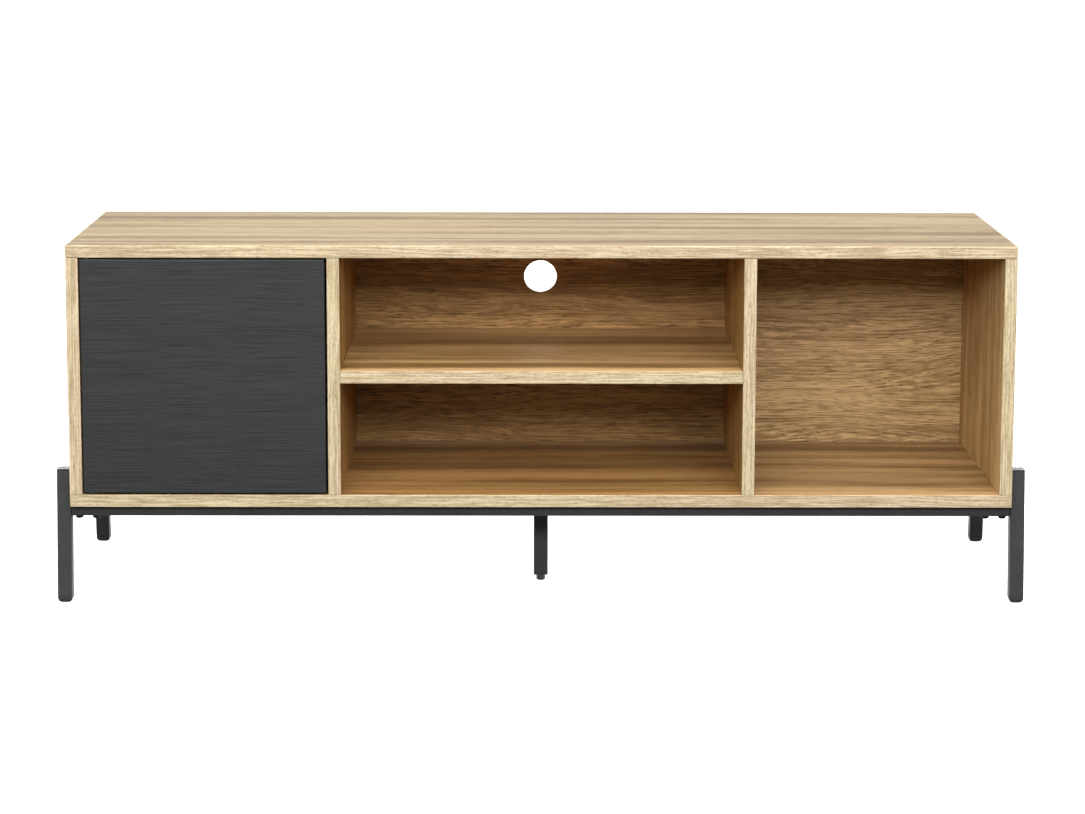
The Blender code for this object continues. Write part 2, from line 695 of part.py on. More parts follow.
def build_centre_leg(bottom_panel):
    """The middle leg: a plate screwed under the cabinet, a tube, its plug and a levelling foot."""
    at = Vector((0.0, CENTRE_LEG_Y, 0.0))
    outline = rounded_square(PLATE_WIDTH, PLATE_DEPTH, PLATE_CORNER)
    plate = add_part(
        "centre_leg_plate",
        extruded("centre_leg_plate", [outline], PLATE_THICKNESS),
        POWDER_COAT,
        at + Vector((0.0, 0.0, (PLATE_TOP + PLATE_BOTTOM) / 2)),
    )
    for side, sign in SIDES:
        head = at + Vector((sign * PLATE_SCREW_SPACING / 2, 0.0, PLATE_BOTTOM - TOUCH))
        wood_screw(f"plate_screw_{side}", head, POINTING_DOWN, bottom_panel)
        bore(plate, f"plate_hole_{side}", SCREW_BORE, head, 4 * PLATE_THICKNESS)
    low = CENTRE_TUBE_BOTTOM + TOUCH
    high = PLATE_BOTTOM - TOUCH
    tube = square_tube("centre_leg", TUBE, TUBE_WALL, high - low)
    leg = add_part("centre_leg", tube, POWDER_COAT, at + Vector((0.0, 0.0, (low + high) / 2)))
    smooth(leg)
    lip_bottom = CENTRE_TUBE_BOTTOM - CENTRE_PLUG_LIP
    plug = end_piece(
        "centre_leg_plug", at, 0, lip_bottom, CENTRE_TUBE_BOTTOM, CENTRE_PLUG_LIP / 2, 1
    )
    hole_at = at + Vector((0.0, 0.0, CENTRE_TUBE_BOTTOM))
    bore(plug, "stem_hole", STEM_RADIUS + TOUCH, hole_at, 3 * PLUG_LENGTH)
    profile = [
        (0.0, STEM_LENGTH),
        (STEM_RADIUS - BOLT_TIP, STEM_LENGTH),
        (STEM_RADIUS, STEM_LENGTH - BOLT_TIP),
        (STEM_RADIUS, FOOT_HEIGHT),
    ]
    centre = FOOT_RADIUS - FOOT_ROUND
    for start, height in ((0, FOOT_HEIGHT - FOOT_ROUND), (90, FOOT_ROUND)):
        for step in range(CORNER_STEPS + 1):
            angle = math.radians(start + 90 * step / CORNER_STEPS)
            reach = centre + FOOT_ROUND * math.sin(angle)
            profile.append((reach, height + FOOT_ROUND * math.cos(angle)))
    profile.append((0.0, 0.0))
    turned("levelling_foot", profile, BLACK_PLASTIC, at)


def main():
    bottom_panel = build_cabinet()
    hinge = add_pivot("door_hinge_axis", HINGE)
    plunger_axis = add_pivot("latch_plunger_axis", Vector((LATCH_X, PLUNGER_FRONT, LATCH_Z)))
    door = build_door(hinge)
    build_pivot_bushes()
    build_push_latch(door, hinge, plunger_axis)
    for side, sign_x in SIDES:
        for end, sign_y in ENDS:
            build_leg(side, sign_x, end, sign_y)
        build_cross_bar(side, sign_x)
    for end, sign_y in ENDS:
        build_rail(end, sign_y, bottom_panel)
    build_centre_leg(bottom_panel)


main()
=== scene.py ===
"""A low TV stand: an oak-decor cabinet with one charcoal door, on a frame of square steel tube.

It dresses the stand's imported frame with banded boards, tubes, fixings and their finishes. Lengths
are in metres. X runs to the right, Y to the back and Z up, and the floor is at Z = 0.
"""

import json
import math
from operator import mul
from typing import NamedTuple

import bmesh
import bpy
from bpy.props import FloatProperty, FloatVectorProperty, PointerProperty
from bpy.types import Operator, Panel, PropertyGroup
from mathutils import Matrix, Vector

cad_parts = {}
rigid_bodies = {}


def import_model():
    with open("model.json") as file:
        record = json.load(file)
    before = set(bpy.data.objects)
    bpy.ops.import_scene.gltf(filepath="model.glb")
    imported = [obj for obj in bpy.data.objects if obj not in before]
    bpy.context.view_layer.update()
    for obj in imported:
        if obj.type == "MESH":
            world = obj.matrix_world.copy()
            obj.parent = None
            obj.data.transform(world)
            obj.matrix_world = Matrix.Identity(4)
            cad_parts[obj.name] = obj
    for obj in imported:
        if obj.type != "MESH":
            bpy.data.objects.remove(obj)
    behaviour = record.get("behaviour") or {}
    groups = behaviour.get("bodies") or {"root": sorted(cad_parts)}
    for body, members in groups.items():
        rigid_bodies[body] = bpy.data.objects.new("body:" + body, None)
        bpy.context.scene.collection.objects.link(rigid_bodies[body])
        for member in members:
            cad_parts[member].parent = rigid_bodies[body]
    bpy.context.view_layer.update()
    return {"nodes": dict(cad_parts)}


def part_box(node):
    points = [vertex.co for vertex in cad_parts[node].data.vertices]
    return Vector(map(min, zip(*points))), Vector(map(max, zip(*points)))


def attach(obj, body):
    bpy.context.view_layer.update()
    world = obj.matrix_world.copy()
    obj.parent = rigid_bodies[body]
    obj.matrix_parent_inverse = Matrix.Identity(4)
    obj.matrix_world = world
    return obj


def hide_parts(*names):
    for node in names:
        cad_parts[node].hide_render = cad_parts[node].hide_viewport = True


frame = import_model()

bl_info = {
    "name": "TV Stand",
    "version": (1, 0, 0),
    "blender": (4, 5, 0),
    "location": "3D View > Sidebar > TV Stand",
    "description": "Builds a low TV stand with one door, open bays and a steel tube base",
    "category": "Add Mesh",
}

SIDES = (("left", -1), ("right", 1))
ENDS = (("front", -1), ("rear", 1))
X, Y, Z = 0, 1, 2

CORNER_STEPS = 7  # facets round each corner of a tube or a moulding
TURNED_POINTS = 48  # points round a turned piece
HOLE_POINTS = 96  # points round the cable hole
SEAM = 1e-6  # points nearer than this are one
SHARP = math.radians(32.0)  # a crease steeper than this stays crisp
SLIP = 0.0003  # the gap between pieces that fit together
PLUG_PLAY = 0.0036  # how much narrower a plug is than its tube's outside
HEX_RATIO = 1.732  # a hexagon's width across its flats over its radius
COAT = "graphite_powder_coat"

ALONG_X = Matrix.Rotation(math.radians(90.0), 4, "Y")
ALONG_Y = Matrix.Rotation(math.radians(-90.0), 4, "X")
UPRIGHT = Matrix.Rotation(math.radians(90.0), 4, "X")
POINTING_DOWN = Matrix.Rotation(math.radians(180.0), 4, "X")


# ---------------------------------------------------------------------------
# Settings
# ---------------------------------------------------------------------------


def number_prop(name, description, default, **kind):
    return FloatProperty(name=name, description=description, default=default, **kind)


def length_prop(name, description, default):
    return number_prop(
        name, description, default, min=0.0, precision=5, subtype="DISTANCE", unit="LENGTH"
    )


def colour_prop(name, description, default):
    kind = {"min": 0.0, "max": 1.0, "size": 3, "subtype": "COLOR"}
    return FloatVectorProperty(name=name, description=description, default=default, **kind)


def angle_prop(name, description, degrees):
    return number_prop(name, description, math.radians(degrees), subtype="ANGLE")


def power_prop(name, description, default):
    return number_prop(name, description, default, min=0.0, unit="POWER")


class StandSizes(PropertyGroup):
    """Sizes of the details, which the frame's boxes don't give."""

    band_thickness: length_prop("Edge band", "Thickness of a board's edge band", 0.0009)
    band_groove: length_prop("Band joint", "Depth of the fine joint beside an edge band", 0.00012)
    board_arris: length_prop("Board arris", "Rounding of a board's edges", 0.0007)
    top_arris: length_prop("Top arris", "Rounding of the top panel's edges", 0.0016)
    door_round: length_prop("Door rounding", "Rounding of the door's edges under its foil", 0.0019)
    hole_radius: length_prop("Cable hole", "Radius of the cable hole in the back panel", 0.025)
    tube_wall: length_prop("Tube wall", "Wall of the square tubes", 0.0015)
    tube_corner: length_prop("Tube corner", "Outer radius of a square tube's corners", 0.0021)
    glide_inset: length_prop("Glide inset", "How far a leg's glide draws in at its bottom", 0.0046)
    glide_rise: length_prop("Glide rise", "Height over which a glide draws in", 0.0082)
    cap_round: length_prop("Cap rounding", "Rounding round the top of a leg's cap", 0.0005)
    weld_width: length_prop("Weld width", "Width of the weld beads on the base", 0.0016)
    bolt_socket: length_prop("Bolt socket", "Width across the flats of a bolt's socket", 0.0040)
    screw_recess: length_prop("Screw recess", "Width across a wood screw's cross recess", 0.0036)
    thread_pitch: length_prop("Thread pitch", "Distance between the turns of a thread", 0.0010)


class StandFinishes(PropertyGroup):
    """Colours of the finishes."""

    oak_light: colour_prop("Oak, light", "Palest tone of the outer faces", (0.425, 0.330, 0.205))
    oak_dark: colour_prop("Oak, dark", "Darkest tone of the outer faces", (0.195, 0.137, 0.075))
    oak_pore: colour_prop("Oak, pores", "Pores of the outer faces", (0.13, 0.090, 0.044))
    # The bay tones are painted shade: a deeper, more saturated copy of the oak for the faces inside
    # the bays, standing in for their shade and bounce light.
    bay_light: colour_prop("Bay oak, light", "Palest tone in the bays", (0.63, 0.395, 0.170))
    bay_dark: colour_prop("Bay oak, dark", "Darkest tone in the bays", (0.27, 0.148, 0.050))
    bay_pore: colour_prop("Bay oak, pores", "Pores in the bays", (0.11, 0.052, 0.016))
    band_light: colour_prop("Edge band, light", "Palest tone of the bands", (0.63, 0.52, 0.345))
    band_dark: colour_prop("Edge band, dark", "Darkest tone of the bands", (0.395, 0.30, 0.175))
    band_pore: colour_prop("Edge band, pores", "Pores of the bands", (0.18, 0.115, 0.055))
    charcoal: colour_prop("Door foil", "The door's embossed foil", (0.0232, 0.0235, 0.0240))
    graphite: colour_prop("Powder coat", "The base's powder coat", (0.0272, 0.0280, 0.0270))
    black_steel: colour_prop("Black steel", "Bolts, tongues and magnet", (0.030, 0.030, 0.032))
    zinc: colour_prop("Zinc", "Plated pins, plates and screws", (0.62, 0.63, 0.65))
    black_plastic: colour_prop("Black plastic", "Glides, caps, bushes, latch", (0.02, 0.02, 0.021))
    nylon: colour_prop("Nylon", "The latch's plunger", (0.80, 0.80, 0.78))


class StandStage(PropertyGroup):
    """The camera and the lights."""

    lens: number_prop("Lens", "Focal length on a 36 mm frame", 95.09, subtype="DISTANCE_CAMERA")
    shift: number_prop("Shift", "Upward shift of the lens", -0.10)
    camera_x: length_prop("Camera offset", "How far left of the middle the camera stands", 0.0238)
    camera_distance: length_prop("Camera distance", "From the stand's front to the camera", 4.0394)
    camera_height: length_prop("Camera height", "From the floor to the camera", 1.0618)
    pitch: angle_prop("Pitch", "How far down the camera looks", 8.659)
    yaw: angle_prop("Yaw", "How far right the camera looks", 0.351)
    roll: angle_prop("Roll", "How far the camera leans", 0.128)
    front_power: power_prop("Front light", "Power of the front light", 135.0)
    high_power: power_prop("High light", "Power of the light above it", 86.0)
    top_power: power_prop("Top light", "Power of the overhead light", 165.0)
    side_power: power_prop("Side lights", "Power of each side light", 100.0)
    rear_power: power_prop("Rear light", "Power of the light behind", 100.0)
    ambient: number_prop("Ambient", "Strength of the light from all round", 0.055)
    sheen: number_prop("Sheen", "Brightness of the studio in the stand's gloss", 0.45)
    backdrop: number_prop("Backdrop", "Brightness of the wall behind in its gloss", 1.1)


# ---------------------------------------------------------------------------
# Node trees
# ---------------------------------------------------------------------------


class Wire:
    """A node's output. Arithmetic on it adds Math nodes to its tree."""

    def __init__(self, nodes, socket):
        self.nodes = nodes
        self.socket = socket

    def math(self, operation, first, second):
        inputs = {"Value": first, "Value_001": second}
        return self.nodes.node("ShaderNodeMath", {"operation": operation}, inputs)

    def __add__(self, other):
        return self.math("ADD", self, other)

    def __sub__(self, other):
        return self.math("SUBTRACT", self, other)

    def __rsub__(self, other):
        return self.math("SUBTRACT", other, self)

    def __mul__(self, other):
        return self.math("MULTIPLY", self, other)

    def __truediv__(self, other):
        return self.math("DIVIDE", self, other)

    def __pow__(self, other):
        return self.math("POWER", self, other)

    __radd__ = __add__
    __rmul__ = __mul__

    def sine(self):
        return self.math("SINE", self, 0.0)

    def least(self, other):
        return self.math("MINIMUM", self, other)

    def between(self, low, high):
        """0 below low, 1 above high, and a smooth step from one to the other."""
        return self.nodes.node(
            "ShaderNodeMapRange",
            {"interpolation_type": "SMOOTHSTEP"},
            {"Value": self, "From Min": low, "From Max": high},
        )


class Nodes:
    """A shader or geometry tree, and the one way to add a node to it."""

    def __init__(self, tree):
        self.tree = tree

    def node(self, kind, settings=None, inputs=None, output=0):
        node = self.tree.nodes.new(kind)
        for name, value in (settings or {}).items():
            if name == "stops":
                self.set_stops(node.color_ramp, value)
            else:
                setattr(node, name, value)
        for name, value in (inputs or {}).items():
            self.feed(node, name, value)
        return Wire(self, node.outputs[output])

    def set_stops(self, ramp, stops):
        while len(ramp.elements) < len(stops):
            ramp.elements.new(1.0)
        for element, (position, colour) in zip(ramp.elements, stops):
            element.position = position
            element.color = (*colour, 1.0)

    def feed(self, node, name, value):
        """Set an input, or link it. A list goes into a socket that takes many links."""
        entry = next(socket for socket in node.inputs if name in (socket.identifier, socket.name))
        for item in value if isinstance(value, list) else [value]:
            if isinstance(item, Wire):
                self.tree.links.new(item.socket, entry)
            elif entry.type == "RGBA" and len(item) == 3:
                entry.default_value = (*item, 1.0)
            else:
                entry.default_value = item

    def mix(self, factor, first, second, blend="MIX"):
        """A colour between two colours."""
        return self.node(
            "ShaderNodeMix",
            {"data_type": "RGBA", "blend_type": blend},
            {"Factor_Float": factor, "A_Color": first, "B_Color": second},
            output=2,
        )

    def vector(self, operation, first, second=None, scale=None):
        """Vector maths. A dot product gives a number, and anything else a vector."""
        inputs = {"Vector": first}
        if second is not None:
            inputs["Vector_001"] = second
        if scale is not None:
            inputs["Scale"] = scale
        output = "Value" if operation == "DOT_PRODUCT" else "Vector"
        return self.node("ShaderNodeVectorMath", {"operation": operation}, inputs, output)


class Finish(Nodes):
    """A material, with its pattern in the piece's own coordinates."""

    def __init__(self, name):
        self.material = bpy.data.materials.new(name)
        self.material.use_nodes = True
        super().__init__(self.material.node_tree)
        self.shader = self.tree.nodes["Principled BSDF"]
        self.place = self.node("ShaderNodeTexCoord", output="Object")

    def noise(self, place, scale, detail=3.0, roughness=0.55, shift=(0.0, 0.0, 0.0)):
        """Noise whose cells measure one over scale along each axis."""
        mapping = {"Vector": place, "Scale": scale, "Location": shift}
        spot = self.node("ShaderNodeMapping", None, mapping)
        look = {"Vector": spot, "Scale": 1.0, "Detail": detail, "Roughness": roughness}
        return self.node("ShaderNodeTexNoise", None, look)

    def surface(self, **values):
        """Feed the shader: Base_Color=..., Roughness=... and so on."""
        for name, value in values.items():
            self.feed(self.shader, name.replace("_", " "), value)

    def bump(self, height, strength, distance):
        """Raise the surface by a height between 0 and 1."""
        inputs = {"Height": height, "Strength": strength, "Distance": distance}
        self.surface(Normal=self.node("ShaderNodeBump", None, inputs))


# ---------------------------------------------------------------------------
# Finishes
# ---------------------------------------------------------------------------


def along(axis, lengthwise, crosswise):
    """A vector with one value along an axis and another along the other two."""
    return tuple(lengthwise if here == axis else crosswise for here in (X, Y, Z))


class Decor(NamedTuple):
    """How an oak decor is laid on a board."""

    palette: str  # oak, bay or band; bay is the oak's copy with painted shade for the faces inside the bays
    grain: int  # the axis that the grain runs along
    across: int  # the axis that the growth rings are spaced over
    figure: float  # how far the grain wanders
    broad: float  # wide bands in a metre
    shares: tuple  # of the tone: from wide bands, from streaks and from fine lines
    dash: tuple  # pores in a metre, along the grain and across it
    pitting: float  # how strongly the pores show
    shift: tuple  # where in the pattern the board is cut
    painted_shading: tuple  # painted light or shade: deepens or lightens the palette for how brightly the board is lit
    middle: tuple = (1.0, 1.0, 1.0)  # painted shade: a further darkening between the dividers, for the middle bays' deeper shade


EVEN = (0.32, 0.26, 0.34)
LEVEL = (0.58, 0.24, 0.12)
FINE = (0.14, 0.24, 0.54)
LONG_DASH = (42.0, 560.0)
SHORT_DASH = (150.0, 620.0)
PLAIN = (1.0, 1.0, 1.0)
RING_TURNS = 1500.0
# Painted light and shade: these tints lighten or darken each board's oak for how light falls on
# that board.
TOP_PAINTED_SHADE = (0.87, 0.84, 0.74)
TOP_CUT = (0.0, 0.0, 0.0)
SIDE_CUT = (0.4, 1.9, 2.8)
BACK_CUT = (1.7, 2.3, 0.6)
BACK_PAINTED_LIGHT = (1.06, 1.14, 1.28)
# Painted shade for the middle bays, which lie in deeper shade than the end bays.
BACK_MIDDLE_SHADE = (0.84, 0.74, 0.55)
FLOOR_CUT = (1.1, 0.7, 2.3)
FLOOR_PAINTED_SHADE = (0.82, 0.82, 0.82)
FLOOR_MIDDLE_SHADE = (0.97, 0.86, 0.70)
SHELF_CUT = (0.6, 0.2, 3.3)
SHELF_PAINTED_LIGHT = (1.08, 1.10, 1.14)
SIDE_PAINTED_LIGHT = (1.26, 1.34, 1.45)
DIVIDER_PAINTED_SHADE = (0.95, 0.90, 0.68)
PATCH_CUT = (3.0, 5.0, 7.0)
DECORS = {
    "oak_level": Decor("oak", X, Y, 0.035, 30.0, LEVEL, LONG_DASH, 0.30, TOP_CUT, TOP_PAINTED_SHADE),
    "oak_upright": Decor("oak", Z, Y, 0.035, 26.0, EVEN, LONG_DASH, 0.35, SIDE_CUT, PLAIN),
    "oak_back": Decor("oak", X, Z, 0.14, 18.0, EVEN, LONG_DASH, 0.55, BACK_CUT, PLAIN),
    "bay_floor": Decor(
        "bay", X, Y, 0.035, 22.0, LEVEL, LONG_DASH, 0.25, FLOOR_CUT, FLOOR_PAINTED_SHADE, FLOOR_MIDDLE_SHADE
    ),
    "bay_shelf": Decor("bay", X, Y, 0.035, 22.0, LEVEL, LONG_DASH, 0.25, SHELF_CUT, SHELF_PAINTED_LIGHT),
    "bay_side": Decor("bay", Z, Y, 0.035, 26.0, EVEN, LONG_DASH, 0.30, SIDE_CUT, SIDE_PAINTED_LIGHT),
    "bay_divider": Decor("bay", Z, Y, 0.035, 26.0, EVEN, LONG_DASH, 0.30, SIDE_CUT, DIVIDER_PAINTED_SHADE),
    "bay_back": Decor(
        "bay", X, Z, 0.14, 18.0, EVEN, LONG_DASH, 0.75, BACK_CUT, BACK_PAINTED_LIGHT, BACK_MIDDLE_SHADE
    ),
    "band_x": Decor("band", X, Z, 0.02, 60.0, FINE, SHORT_DASH, 0.50, (5.1, 0.7, 1.2), PLAIN),
    "band_y": Decor("band", Y, Z, 0.02, 60.0, FINE, SHORT_DASH, 0.50, (0.9, 5.3, 2.2), PLAIN),
    "band_z": Decor("band", Z, X, 0.02, 60.0, FINE, SHORT_DASH, 0.50, (2.6, 0.8, 5.7), PLAIN),
}


def oak(name, decor, tones):
    """Oak decor in its palest and darkest colour and its pores' colour."""
    # The palette is multiplied by the board's painted light or shade.
    light, dark, pore = (tuple(map(mul, tone, decor.painted_shading)) for tone in tones)
    grain, shift = decor.grain, decor.shift
    finish = Finish(name)
    wander = finish.noise(finish.place, along(grain, 1.3, 7.0), detail=2.0, shift=shift) - 0.5
    sideways = along(grain, 0.0, 1.0)
    bend = finish.vector("SCALE", sideways, scale=wander * decor.figure)
    place = finish.vector("ADD", finish.place, bend)
    reach = finish.vector("DOT_PRODUCT", place, along(decor.across, 1.0, 0.0))

    def grained(lengthwise, crosswise, detail, roughness=0.55):
        scale = along(grain, lengthwise, crosswise)
        return finish.noise(place, scale, detail, roughness, shift)

    swing = grained(2.2, 14.0, 3.0)
    rings = (reach * RING_TURNS + swing * 34.0).sine() * 0.5 + 0.5
    bands = grained(1.1, decor.broad, 3.0, 0.6)
    streaks = grained(4.0, 150.0, 4.0, 0.65)
    lines = grained(18.0, 380.0, 3.0, 0.6)
    fibres = grained(60.0, 900.0, 2.0)
    dashes = grained(*decor.dash, 2.0, 0.5)
    pores = dashes.between(0.50, 0.68) * (rings * 0.5 + 0.5)

    banding, streaking, lining = decor.shares
    tone = bands * banding + streaks * streaking + lines * lining + fibres * 0.10 - rings * 0.04
    tone = tone.between(0.40, 0.58)
    colour = finish.mix(tone, dark, light)
    colour = finish.mix(pores * decor.pitting, colour, pore)
    patch = finish.noise(place, along(grain, 1.6, 9.0), detail=1.0, shift=PATCH_CUT)
    tint = finish.mix(patch.between(0.40, 0.62), (0.97, 1.0, 0.90), (1.0, 0.93, 0.96))
    colour = finish.mix(0.35, colour, tint, blend="MULTIPLY")
    # Painted shade: between the dividers the colour is multiplied darker and more saturated, for
    # the middle bays' deeper shade.
    if decor.middle != PLAIN:
        sideways = finish.vector("DOT_PRODUCT", finish.place, (1.0, 0.0, 0.0))
        low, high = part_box("left_divider")[1].x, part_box("right_divider")[0].x
        middle_shade_mask = sideways.between(low - 0.01, low) * (1.0 - sideways.between(high, high + 0.01))
        painted_shade = finish.mix(1.0, colour, decor.middle, blend="MULTIPLY")
        colour = finish.mix(middle_shade_mask, colour, painted_shade)
    finish.surface(Base_Color=colour, Roughness=0.50 + pores * 0.2 - tone * 0.06)
    finish.surface(Specular_IOR_Level=0.34)
    finish.bump(fibres * 0.35 + streaks * 0.25 - pores * 0.8, 0.35, 0.00025)
    return finish.material


def shaded(colour, factor):
    return tuple(part * factor for part in colour)


def door_foil(name, colour):
    """Charcoal foil, embossed with a fine level grain."""
    finish = Finish(name)
    wander = finish.noise(finish.place, (1.6, 8.0, 8.0), detail=2.0) - 0.5
    bend = finish.vector("SCALE", (0.0, 0.0, 1.0), scale=wander * 0.04)
    place = finish.vector("ADD", finish.place, bend)
    lines = finish.noise(place, (9.0, 560.0, 560.0), detail=3.0, roughness=0.6)
    dashes = finish.noise(place, (45.0, 600.0, 600.0), detail=2.0).between(0.52, 0.72)
    bands = finish.noise(place, (1.2, 30.0, 30.0), detail=3.0)
    tone = (lines * 0.70 + bands * 0.20 + (1.0 - dashes) * 0.10).between(0.34, 0.70)
    dark, light = shaded(colour, 0.62), shaded(colour, 1.52)
    finish.surface(Base_Color=finish.mix(tone, dark, light), Roughness=0.56 - tone * 0.12)
    finish.surface(Specular_IOR_Level=0.22)
    finish.bump(lines * 0.6 + (1.0 - dashes) * 0.3, 0.5, 0.0003)
    return finish.material


def powder_coat(name, colour):
    """Satin powder coat with a fine orange peel."""
    finish = Finish(name)
    peel = finish.noise(finish.place, (900.0, 900.0, 900.0), detail=2.0, roughness=0.5)
    grit = finish.noise(finish.place, (4200.0, 4200.0, 4200.0), detail=1.0)
    cloud = finish.noise(finish.place, (26.0, 26.0, 26.0), detail=3.0)
    tone = cloud * 0.6 + peel * 0.4
    dark, light = shaded(colour, 0.86), shaded(colour, 1.16)
    finish.surface(Base_Color=finish.mix(tone.between(0.35, 0.65), dark, light))
    finish.surface(Roughness=0.40 + cloud * 0.14)
    finish.surface(Specular_IOR_Level=0.34)
    finish.bump(peel * 0.75 + grit * 0.25, 0.22, 0.0002)
    return finish.material


def steel(name, colour, roughness, scratch):
    """Plated or blackened steel, with fine scratches and a cloudy sheen."""
    finish = Finish(name)
    cloud = finish.noise(finish.place, (240.0, 240.0, 240.0), detail=4.0)
    lines = finish.noise(finish.place, (420.0, 5200.0, 900.0), detail=3.0)
    dark = shaded(colour, 0.80)
    finish.surface(Base_Color=finish.mix(cloud.between(0.36, 0.64), dark, colour))
    finish.surface(Roughness=roughness + (cloud - 0.5) * 0.25 + (lines - 0.5) * 0.1)
    finish.surface(Metallic=1.0)
    finish.bump(lines * 0.6 + cloud * 0.4, scratch, 0.0001)
    return finish.material


def moulded(name, colour, roughness, texture):
    """Moulded plastic with a fine spark-eroded texture."""
    finish = Finish(name)
    grain = finish.noise(finish.place, (2600.0, 2600.0, 2600.0), detail=2.0)
    flow = finish.noise(finish.place, (70.0, 70.0, 180.0), detail=3.0)
    light = tuple(min(1.0, part * 1.18 + 0.004) for part in colour)
    finish.surface(Base_Color=finish.mix(flow.between(0.3, 0.7), colour, light))
    finish.surface(Roughness=roughness + (flow - 0.5) * 0.16 + (grain - 0.5) * 0.1)
    finish.bump(grain, texture, 0.0001)
    return finish.material


def finish_named(name):
    """The stand's material of this name, made the first time that it is asked for."""
    found = bpy.data.materials.get("stand_" + name)
    if found:
        return found
    colours = bpy.context.scene.stand_finishes
    if name in DECORS:
        decor = DECORS[name]
        tones = [decor.palette + "_" + tone for tone in ("light", "dark", "pore")]
        return oak("stand_" + name, decor, [getattr(colours, tone)[:] for tone in tones])
    makers = {
        "charcoal_foil": lambda label: door_foil(label, colours.charcoal[:]),
        "graphite_powder_coat": lambda label: powder_coat(label, colours.graphite[:]),
        "black_steel": lambda label: steel(label, colours.black_steel[:], 0.42, 0.12),
        "zinc_steel": lambda label: steel(label, colours.zinc[:], 0.34, 0.10),
        "black_plastic": lambda label: moulded(label, colours.black_plastic[:], 0.50, 0.25),
        "gloss_plastic": lambda label: moulded(label, colours.black_plastic[:], 0.16, 0.03),
        "white_nylon": lambda label: moulded(label, colours.nylon[:], 0.42, 0.25),
    }
    return makers[name]("stand_" + name)


# ---------------------------------------------------------------------------
# Shapes
# ---------------------------------------------------------------------------


def rounded_rectangle(width, depth, radius):
    """Points of a rectangle with round corners, counter-clockwise about the origin."""
    points = []
    for quarter, (side_x, side_y) in enumerate(((1, 1), (-1, 1), (-1, -1), (1, -1))):
        centre = Vector((side_x * (width / 2 - radius), side_y * (depth / 2 - radius)))
        for step in range(CORNER_STEPS + 1):
            angle = math.radians(90.0 * (quarter + step / CORNER_STEPS))
            points.append(centre + radius * Vector((math.cos(angle), math.sin(angle))))
    return points


def circle(radius, count=TURNED_POINTS):
    """Points of a circle, counter-clockwise about the origin."""
    angles = [2.0 * math.pi * (step + 0.5) / count for step in range(count)]
    return [Vector((radius * math.cos(angle), radius * math.sin(angle))) for angle in angles]


def at_height(outline, height):
    return [Vector((point.x, point.y, height)) for point in outline]


def loft(bm, rings, closed=False):
    """Skin a run of rings of points. An open run gets a flat face at each end."""
    rows = [[bm.verts.new(point) for point in ring] for ring in rings]
    pairs = list(zip(rows, rows[1:]))
    if closed:
        pairs.append((rows[-1], rows[0]))
    faces = []
    for lower, upper in pairs:
        for here in range(len(lower)):
            there = (here + 1) % len(lower)
            faces.append(bm.faces.new((lower[here], lower[there], upper[there], upper[here])))
    if not closed:
        faces.append(bm.faces.new(list(reversed(rows[0]))))
        faces.append(bm.faces.new(rows[-1]))
    return faces


def turned(bm, profile, closed=False):
    """A turned shape from (radius, height) points."""
    return loft(bm, [at_height(circle(radius), height) for radius, height in profile], closed)


def quarter_round(radius, steps=5):
    """(inset, rise) points of a rounded edge, from the side up to the end face."""
    angles = [math.radians(90.0 * step / steps) for step in range(steps + 1)]
    return [(radius * (1.0 - math.cos(angle)), radius * math.sin(angle)) for angle in angles]


def square_tube(size, sizes, low, high):
    """A square tube along Z, open at its ends, with the burr taken off its rims."""
    wall, corner = sizes.tube_wall, sizes.tube_corner
    burr = wall / 5
    inner = size - 2 * wall
    outer_ring = rounded_rectangle(size, size, corner)
    outer_rim = rounded_rectangle(size - 2 * burr, size - 2 * burr, corner - burr)
    inner_ring = rounded_rectangle(inner, inner, max(corner - wall, wall / 4))
    rings = [
        at_height(outer_rim, low),
        at_height(outer_ring, low + burr),
        at_height(outer_ring, high - burr),
        at_height(outer_rim, high),
        at_height(inner_ring, high),
        at_height(inner_ring, low),
    ]
    bm = bmesh.new()
    loft(bm, rings, closed=True)
    return bm


def eased_block(width, depth, height, corner, edges, shrink=0.0, steps=5):
    """Rings of a block about the origin with round corners, from its top down.

    edges holds the rounding at the top and at the bottom. shrink is the share of an edge's inset
    that comes off the corners' radius.
    """
    top, bottom = edges
    half = height / 2
    eased = [(inset, half - top + rise) for inset, rise in reversed(quarter_round(top, steps))]
    eased += [(inset, bottom - half - rise) for inset, rise in quarter_round(bottom, steps)]
    rings = []
    for inset, level in eased:
        radius = corner - shrink * inset
        outline = rounded_rectangle(width - 2 * inset, depth - 2 * inset, radius)
        rings.append(at_height(outline, level))
    return rings


def piece(name, bm, finishes, body, nodes, place=None):
    """Make an object of a shape, put it on its body and let it stand for CAD nodes."""
    if place is not None:
        bm.transform(place)
    bmesh.ops.recalc_face_normals(bm, faces=bm.faces)
    mesh = bpy.data.meshes.new(name)
    bm.to_mesh(mesh)
    bm.free()
    for finish in finishes:
        mesh.materials.append(finish_named(finish))
    return settle(name, mesh, body, nodes)


def settle(name, mesh, body, nodes):
    """Link a finished mesh as a piece that rides on a body."""
    mesh.shade_smooth()
    mesh.set_sharp_from_angle(angle=SHARP)
    obj = bpy.data.objects.new(name, mesh)
    bpy.context.scene.collection.objects.link(obj)
    weighted = obj.modifiers.new("even_shading", "WEIGHTED_NORMAL")
    weighted.keep_sharp = True
    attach(obj, body)
    if nodes:
        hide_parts(*nodes)
    return obj


def plain_piece(name, bm, finish, node, place, body="cabinet"):
    """A piece that stands for one node, in a slot named after its finish."""
    return piece(name, bm, [finish], body, [node], place)


def turned_piece(name, profile, finish, node, place, body="cabinet", closed=False):
    bm = bmesh.new()
    turned(bm, profile, closed)
    return plain_piece(name, bm, finish, node, place, body)


